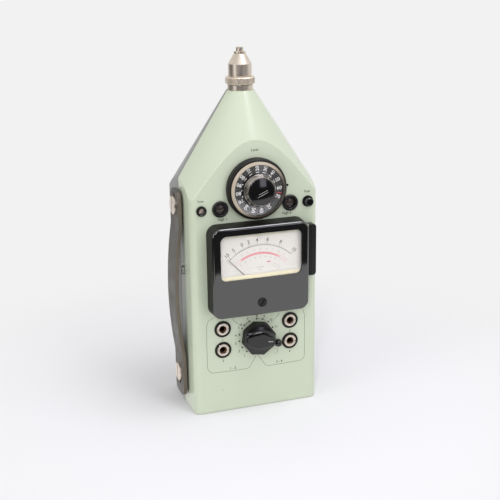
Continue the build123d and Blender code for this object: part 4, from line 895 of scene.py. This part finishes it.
def drawn(points, width, plane, ink, body="case"):
    """A printed line through points in mm on a plane; width is a number, or a pair to taper."""
    start, end = width if isinstance(width, tuple) else (width, width)
    spots = [Vector(point) for point in points]
    left, right = [], []
    for i, spot in enumerate(spots):
        along = (spots[min(i + 1, len(spots) - 1)] - spots[max(i - 1, 0)]).normalized()
        half = (start + (end - start) * i / (len(spots) - 1)) / 2
        side = Vector((-along.y, along.x)) * half
        left.append(spot + side)
        right.append(spot - side)
    count = len(spots)
    rims = [(p.x * MM, p.y * MM, INK * MM) for p in right + left]
    faces = [(i, i + 1, count + i + 1, count + i) for i in range(count - 1)]
    mesh = bpy.data.meshes.new("printed_line")
    mesh.from_pydata(rims, [], faces)
    mesh.transform(plane)
    piece = bpy.data.objects.new("printed_line", mesh)
    bpy.context.scene.collection.objects.link(piece)
    keep_print(piece, ink, body)


def arc(radius, start, end, step=3.0, centre=(0.0, 0.0)):
    """Points along an arc, with its angles in degrees."""
    count = max(2, int(abs(end - start) / step) + 1)
    return [(centre[0] + radius * math.cos(math.radians(start + (end - start) * i / (count - 1))),
             centre[1] + radius * math.sin(math.radians(start + (end - start) * i / (count - 1))))
            for i in range(count)]


def round_about(radius, angle):
    """A point at an angle round the origin."""
    return radius * math.cos(math.radians(angle)), radius * math.sin(math.radians(angle))


# %% [markdown]
# ## The panel's marks
# Eleven dots stand round the two concentric switches, and bars join those that belong together.
# Each dot has a plain number, and so has each socket. A few generic words stand at the other
# controls. They could be a picture laid over the panel, but flat text made into a mesh stays
# sharp at any distance and needs no image.

# %% Dots, bars and numbers round the switches
panel_ink = "black_ink"
stops = (235.0, 214.0, 190.0, 168.0, 146.0, 135.0, 114.0, 89.0, 69.0, 47.0, 22.0)
dots_out, numbers_out, numbers_down = 17.0, 20.8, 1.1      # the numbers stand a little low
for number, angle in enumerate(stops, 1):
    x, z = round_about(dots_out, angle)
    dot(on_panel(x, knob_z + z), 0.85, panel_ink)
    x, z = round_about(numbers_out, angle)
    lettered(str(number), on_panel(x, knob_z + z - numbers_down), 2.2, panel_ink, bold=0.04)
for start, end, width in ((114.0, 135.0, 0.6), (69.0, 89.0, 0.22), (47.0, 69.0, 0.3)):
    drawn([round_about(dots_out, start), round_about(dots_out, end)], width, on_panel(0, knob_z), panel_ink)
labels = [    # text, middle, height above the foot, size of its capitals
    ("1", -32.8, 71.4, 2.1), ("2", -32.8, 51.1, 2.1), ("3", 32.8, 71.6, 2.1), ("4", 32.8, 51.0, 2.1),
    ("1 - 2", -23.2, 42.6, 2.3), ("3 - 4", 22.3, 42.5, 2.3)]
for text, x, z, size in labels:
    lettered(text, on_panel(x, z), size, panel_ink, bold=0.04)
drawn([(20.7, 56.3), (20.3, 51.1), (17.1, 50.8)], 0.24, on_panel(0, 0), panel_ink)
print("switch marks", sum(len(pieces) for pieces in printed.values()))

# %% Fields round the sockets, and the labels further up
left_field = [(-41.3, 94.2), (-46.2, 91.7), (-47.8, 87.5), (-48.1, 69.4)] \
    + arc(7.0, 180, 270, 10, (-41.0, 47.2)) + [(-9.9, 39.8), (-7.1, 41.0), (-0.8, 51.6)]
right_field = [(1.8, 51.4), (7.8, 41.4), (10.8, 39.4)] + arc(5.4, 270, 360, 10, (42.3, 45.4)) \
    + [(47.6, 85.7), (45.8, 91.4)]
for points in (left_field, right_field, [(-22.2, 91.5), (-22.2, 89.3), (-20.1, 87.0), (-14.5, 82.9)],
               [(22.0, 90.6), (21.5, 89.0), (14.0, 81.9)]):
    drawn(points, 0.3, on_panel(0, 0), panel_ink)
labels = [("Level", 0.0, 245.5, 2.2), ("Trim", -50.6, 203.5, 2.1), ("Push", 49.7, 203.9, 2.1),
          ("High 1", -30.8, 185.6, 2.3), ("High 2", 30.0, 185.8, 2.3)]
for text, x, z, size in labels:
    lettered(text, on_panel(x, z), size, panel_ink, bold=0.04)
print("panel marks", sum(len(pieces) for pieces in printed.values()))


# %% [markdown]
# ## The dial's numbers
# The numbers run from 30 to 170 in tens, one for each step of the attenuator, and each reads
# outward along its own radius. Their white ink is thick and a little uneven. A red line is
# printed under the clear disc, and two hair lines run along the bar of the cap.

# %% Numbers on the ring, the red line under the disc, the white lines on cap and knob
dial_plane = on_panel(0, dial_z, dial_top)
first_angle, step_angle, numbers_at, line_angle = 301.0, 23.07, 18.4, -12.0
for step, number in enumerate(range(30, 180, 10)):
    angle = first_angle - step_angle * step
    x, z = round_about(numbers_at, angle)
    lettered(str(number), dial_plane @ Matrix.Translation(Vector((x, z, 0)) * MM)
             @ Matrix.Rotation(math.radians(angle), 4, "Z"),
             3.0, "white_ink", "range_dial", bold=0.04, span=4.6 if number < 100 else 6.0)
for angle in (118, 137, 156, 176, 196):
    drawn([round_about(15.0, angle), round_about(15.9, angle + 4)], 0.6, dial_plane, "white_ink",
          "range_dial")
under_disc = on_panel(0, dial_z, disc_foot - 0.09)
drawn([round_about(16.8, line_angle), round_about(22.2, line_angle)], 0.7, under_disc, "red_ink",
      "range_cursor")
for offset, left, right in ((-0.95, -5.6, 4.9), (0.95, -3.6, 5.2)):
    drawn([(left, offset), (right, offset)], 0.17, bar_plane, "white_ink", "range_cursor")
knob_top = on_panel(0, knob_z, knob_crest, knob_turn)
drawn([(6.1, -0.1), (11.0, -0.1)], 0.3, knob_top, "white_ink", "weighting_knob")
print("dial", round(dial_top, 2), "mm above the panel")


# %% [markdown]
# ## The scale
# Two scales share the card, both drawn about the pointer's axis: plain numbers in black on the
# outer arc, with a mark for every fifth of each step but the first, and a red arc inside it.
# Small grey figures count from 1 to 9, up along one arc and down along another. Where such a card
# has small print, two short rules and a red bar stand. The card slides out, and its ink rides
# with it.

# %% Scale arcs, marks and numbers
card = on_panel(0, pivot_z, panel_y - corners("scale_plate")[0].y)
arc_radius = 42.2


def on_arc(radius, lean):
    """The card's plane, moved out along a radius that leans anticlockwise from straight up."""
    x, z = round_about(radius, 90 + lean)
    return card @ Matrix.Translation(Vector((x, z, 0)) * MM) @ Matrix.Rotation(math.radians(lean), 4, "Z")


def on_card(points, width, ink="black_ink"):
    """A line printed on the card, so that it rides with the slide."""
    drawn(points, width, card, ink, "scale_slide")


on_card(arc(arc_radius, 90 + 43.5, 90 - 43.5, 1.5), 0.34)
majors = ((-10, 41.0), (-5, 32.2), (0, 21.4), (2, 13.5), (4, 3.8), (6, -8.5), (8, -24.3), (10, -43.3))
for number, angle in majors:
    on_card([round_about(arc_radius, 90 + angle), round_about(45.0, 90 + angle)], 0.3)
    lettered(str(abs(number)), on_arc(47.3, angle), 3.2, "black_ink", "scale_slide", bold=0.03)
for (_, first), (_, last) in zip(majors[1:], majors[2:]):
    for part in range(1, 5):
        angle = 90 + first + (last - first) * part / 5
        on_card([round_about(arc_radius, angle), round_about(43.8, angle)], 0.22)
on_card(arc(34.8, 90 + 31, 90 - 18, 1.5), 2.0, "faded_red_ink")
on_card(arc(34.6, 90 - 18, 90 - 32, 1.5), (2.0, 0.7), "faded_red_ink")
for reach in (35.9, 33.8):
    on_card(arc(reach, 90 - 24, 90 - 46, 1.5), 0.26, "faded_red_ink")
    on_card(arc(reach, 90 + 44, 90 + 30, 1.5), 0.2, "faded_red_ink")
for angle in range(-36, 42, 9):
    for reach, value in ((38.5, 5 + angle // 9), (31.2, 5 - angle // 9)):
        lettered(str(value), on_arc(reach, -angle), 1.5, "grey_ink", "scale_slide")
drawn([(-1.8, 0.6), (1.8, 0.6)], 0.8, on_arc(26.6, -17.0) @ Matrix.Rotation(math.radians(15), 4, "Z"),
      "red_ink", "scale_slide")
inner, outer, end = 24.8, 27.2, 90 - 43.8          # the grey frame at the card's right
for reach in (outer, inner):
    on_card(arc(reach, 90 - 27.4, end, 4), 0.2, "grey_ink")
on_card([round_about(inner, end), round_about(outer, end)], 0.2, "grey_ink")
for reach, half in ((21.0, 3.1), (18.6, 1.7)):
    drawn([(-half, 0.75), (half, 0.75)], 0.3, on_arc(reach, 0), "grey_ink", "scale_slide")


# %% [markdown]
# The pointer's root is hidden by a strip of ivory card that stands just behind the pane, along
# the window's lower edge. Two small black clips are drawn on it.

# %% The strip that hides the pointer's root
strip_reach, strip_back, strip_front = 37.6, 13.2, 13.55        # half its length, and its heights
root_strip = block("root_strip", on_panel(0, 0, 0), (-strip_reach, window_low.z + 0.4, strip_back),
                   (strip_reach, window_low.z + 5.4, strip_front))
eased(root_strip, 0.1)
hand_over(root_strip, "ivory_card", "case")
for x, width in ((-29.0, 2.4), (27.0, 2.2)):
    drawn([(x - width, window_low.z + 0.8), (x - 0.5, window_low.z + 1.0), (x, window_low.z + 1.9),
           (x + 0.5, window_low.z + 1.0), (x + width, window_low.z + 0.8)], 0.5,
          on_panel(0, 0, strip_front + 0.01), "black_ink")
print("marks in all", sum(len(pieces) for pieces in printed.values()))


# %% Join the marks of one ink that ride on one body
for (ink, body), pieces in printed.items():
    bpy.ops.object.select_all(action="DESELECT")
    for piece in pieces:
        piece.select_set(True)
    bpy.context.view_layer.objects.active = pieces[0]
    bpy.ops.object.join()
    sheet = pieces[0]
    sheet.name = sheet.data.name = f"printed_{ink}_{body}"
    hand_over(sheet, ink, body, slot_name="scale_card" if body == "scale_slide" else "index_white")
print("printed pieces", len(printed))


# %% [markdown]
# ## The table and the room
# The instrument stands on a white sweep, as in a catalogue. Near it the paper is really lit, so
# it keeps the soft shadow; further out it fades to an even white, which is also what mirrors and
# glass see. The table ends 46 cm in front of the instrument's axis. Behind, above and at the
# right the mirrored room is as white as the paper, and in front and at the left it is dark, so
# that polished faces show a pale table below a dark room, with a bright line where their edges
# turn up.

# %% Sweep
WHITE = "#F2F2F2"
tree, shader, output, place = start_finish("paper", "#E8E8E8", 0.9, Specular_IOR_Level=0.1)
far = add_node(tree, "VectorMath", links={0: place}, operation="LENGTH").outputs["Value"]
fade = spread_over(tree, far, 0.16, 0.42, 0.0, 1.0, interpolation_type="SMOOTHSTEP")
even = add_node(tree, "Emission", {"Color": linear(WHITE), "Strength": 1.0})
ray = add_node(tree, "LightPath")
seen = add_node(tree, "MixShader", links={0: fade, 1: shader.outputs[0], 2: even.outputs[0]})
looked_at = add_node(tree, "MixShader", links={0: ray.outputs["Is Camera Ray"], 1: shader.outputs[0],
                                               2: seen.outputs[0]})
mirrored = add_node(tree, "Math", links={0: ray.outputs["Is Glossy Ray"],
                                         1: ray.outputs["Is Transmission Ray"]}, operation="MAXIMUM")
paper = add_node(tree, "MixShader", links={0: mirrored.outputs[0], 1: looked_at.outputs[0],
                                           2: even.outputs[0]})
tree.links.new(paper.outputs[0], output.inputs["Surface"])
bpy.ops.object.select_all(action="DESELECT")
bpy.ops.mesh.primitive_plane_add(size=1)
sweep = bpy.context.object
sweep.name = sweep.data.name = "sweep"
table_edge, table_left, table_size = -0.46, -0.42, 6
table_middle = (table_size / 2 + table_left, table_size / 2 + table_edge, 0)
sweep.data.transform(Matrix.Translation(table_middle) @ Matrix.Diagonal((table_size, table_size, 1, 1)))
sweep.data.materials.append(finishes["paper"])

# %% The room
world = bpy.data.worlds.new("room")
bpy.context.scene.world = world
world.use_nodes = True
tree = world.node_tree
tree.nodes.clear()
ray = add_node(tree, "LightPath")
towards = add_node(tree, "TexCoord").outputs["Generated"]
behind = add_node(tree, "VectorMath", {1: (0.42, 0.48, 0.77)}, {0: towards}, operation="DOT_PRODUCT")
wall = spread_over(tree, behind.outputs["Value"], -0.25, 0.35, 0.05, 1.0, interpolation_type="SMOOTHSTEP")
glow = add_node(tree, "Background", {"Color": (1, 1, 1, 1), "Strength": 0.68})
backdrop = add_node(tree, "Background", {"Color": linear(WHITE), "Strength": 1.0})
mirrored = add_node(tree, "Background", {"Color": linear(WHITE)}, {"Strength": wall})
through = add_node(tree, "Math", links={0: ray.outputs["Is Camera Ray"],
                                        1: ray.outputs["Is Transmission Ray"]}, operation="MAXIMUM")
lit = add_node(tree, "MixShader", links={0: ray.outputs["Is Glossy Ray"], 1: glow.outputs[0],
                                         2: mirrored.outputs[0]})
seen = add_node(tree, "MixShader", links={0: through.outputs[0], 1: lit.outputs[0],
                                          2: backdrop.outputs[0]})
add_node(tree, "OutputWorld", links={"Surface": seen.outputs[0]})


# %% [markdown]
# ## The lamps
# A low window of light at the front right shows as the patch on the cap, and a tall narrow box
# at the front left draws the upright streak on the roof of the case. A box above draws the strip
# along the surround's top edge, and a broad lamp stands at the left. One more fills in from the
# front right and isn't mirrored. Each is given the brightness of its face, where 1 is white, and
# its power follows from its area.

# %% Lamps
def soft_lamp(name, place, aim, size, brightness, tint="#FFFFFF", mirrored=True):
    """A rectangular soft lamp at place, aimed at a point, with its size in metres."""
    data = bpy.data.lights.new(name, "AREA")
    data.shape, data.size, data.size_y = "RECTANGLE", size[0], size[1]
    data.energy, data.color = brightness * math.pi * size[0] * size[1], linear(tint)[:3]
    lamp = bpy.data.objects.new(name, data)
    bpy.context.scene.collection.objects.link(lamp)
    facing = (Vector(aim) - Vector(place)).normalized()
    lamp.matrix_world = Matrix.Translation(place) @ facing.to_track_quat("-Z", "Y").to_matrix().to_4x4()
    lamp.visible_glossy = mirrored
    return lamp


soft_lamp("window", (0.53, -1.40, 0.33), (0, 0, 0.2), (0.27, 0.5), 1.7, "#F2F0FF")
soft_lamp("front_box", (-0.62, -1.35, 1.00), (0, 0, 0.2), (0.11, 0.8), 22.0, "#F2F0FF")
soft_lamp("front_fill", (0.60, -1.40, 0.52), (0, 0, 0.2), (0.5, 1.2), 2.3, "#F6F5FF", mirrored=False)
soft_lamp("left_box", (-1.45, -0.55, 0.55), (0, 0, 0.15), (0.7, 1.1), 2.4)
soft_lamp("top_box", (0.35, -0.35, 1.35), (0, 0, 0.2), (0.62, 0.66), 5.4, "#F6F5FF")


# %% [markdown]
# ## The camera
# A lens of 72 mm looks down a little from the left, as in a catalogue. The camera is turned by
# three angles, and its axes are written out from them.

# %% Camera
yaw, pitch, roll = (math.radians(angle) for angle in (19.058, 16.903, -0.7046))
forward = Vector((math.sin(yaw) * math.cos(pitch), math.cos(yaw) * math.cos(pitch), -math.sin(pitch)))
right = Vector((math.cos(yaw), -math.sin(yaw), 0))
up = right.cross(forward)
tilted_right = right * math.cos(roll) + up * math.sin(roll)
tilted_up = up * math.cos(roll) - right * math.sin(roll)
lens_data = bpy.data.cameras.new("camera")
lens_data.lens, lens_data.sensor_width = 72.08, 36.0
camera = bpy.data.objects.new("camera", lens_data)
bpy.context.scene.collection.objects.link(camera)
columns = Matrix((tilted_right, tilted_up, -forward)).transposed().to_4x4()
camera.matrix_world = Matrix.Translation((-0.28637, -0.85043, 0.41602)) @ columns
bpy.context.scene.camera = camera
bpy.context.scene.view_settings.view_transform = "Standard"
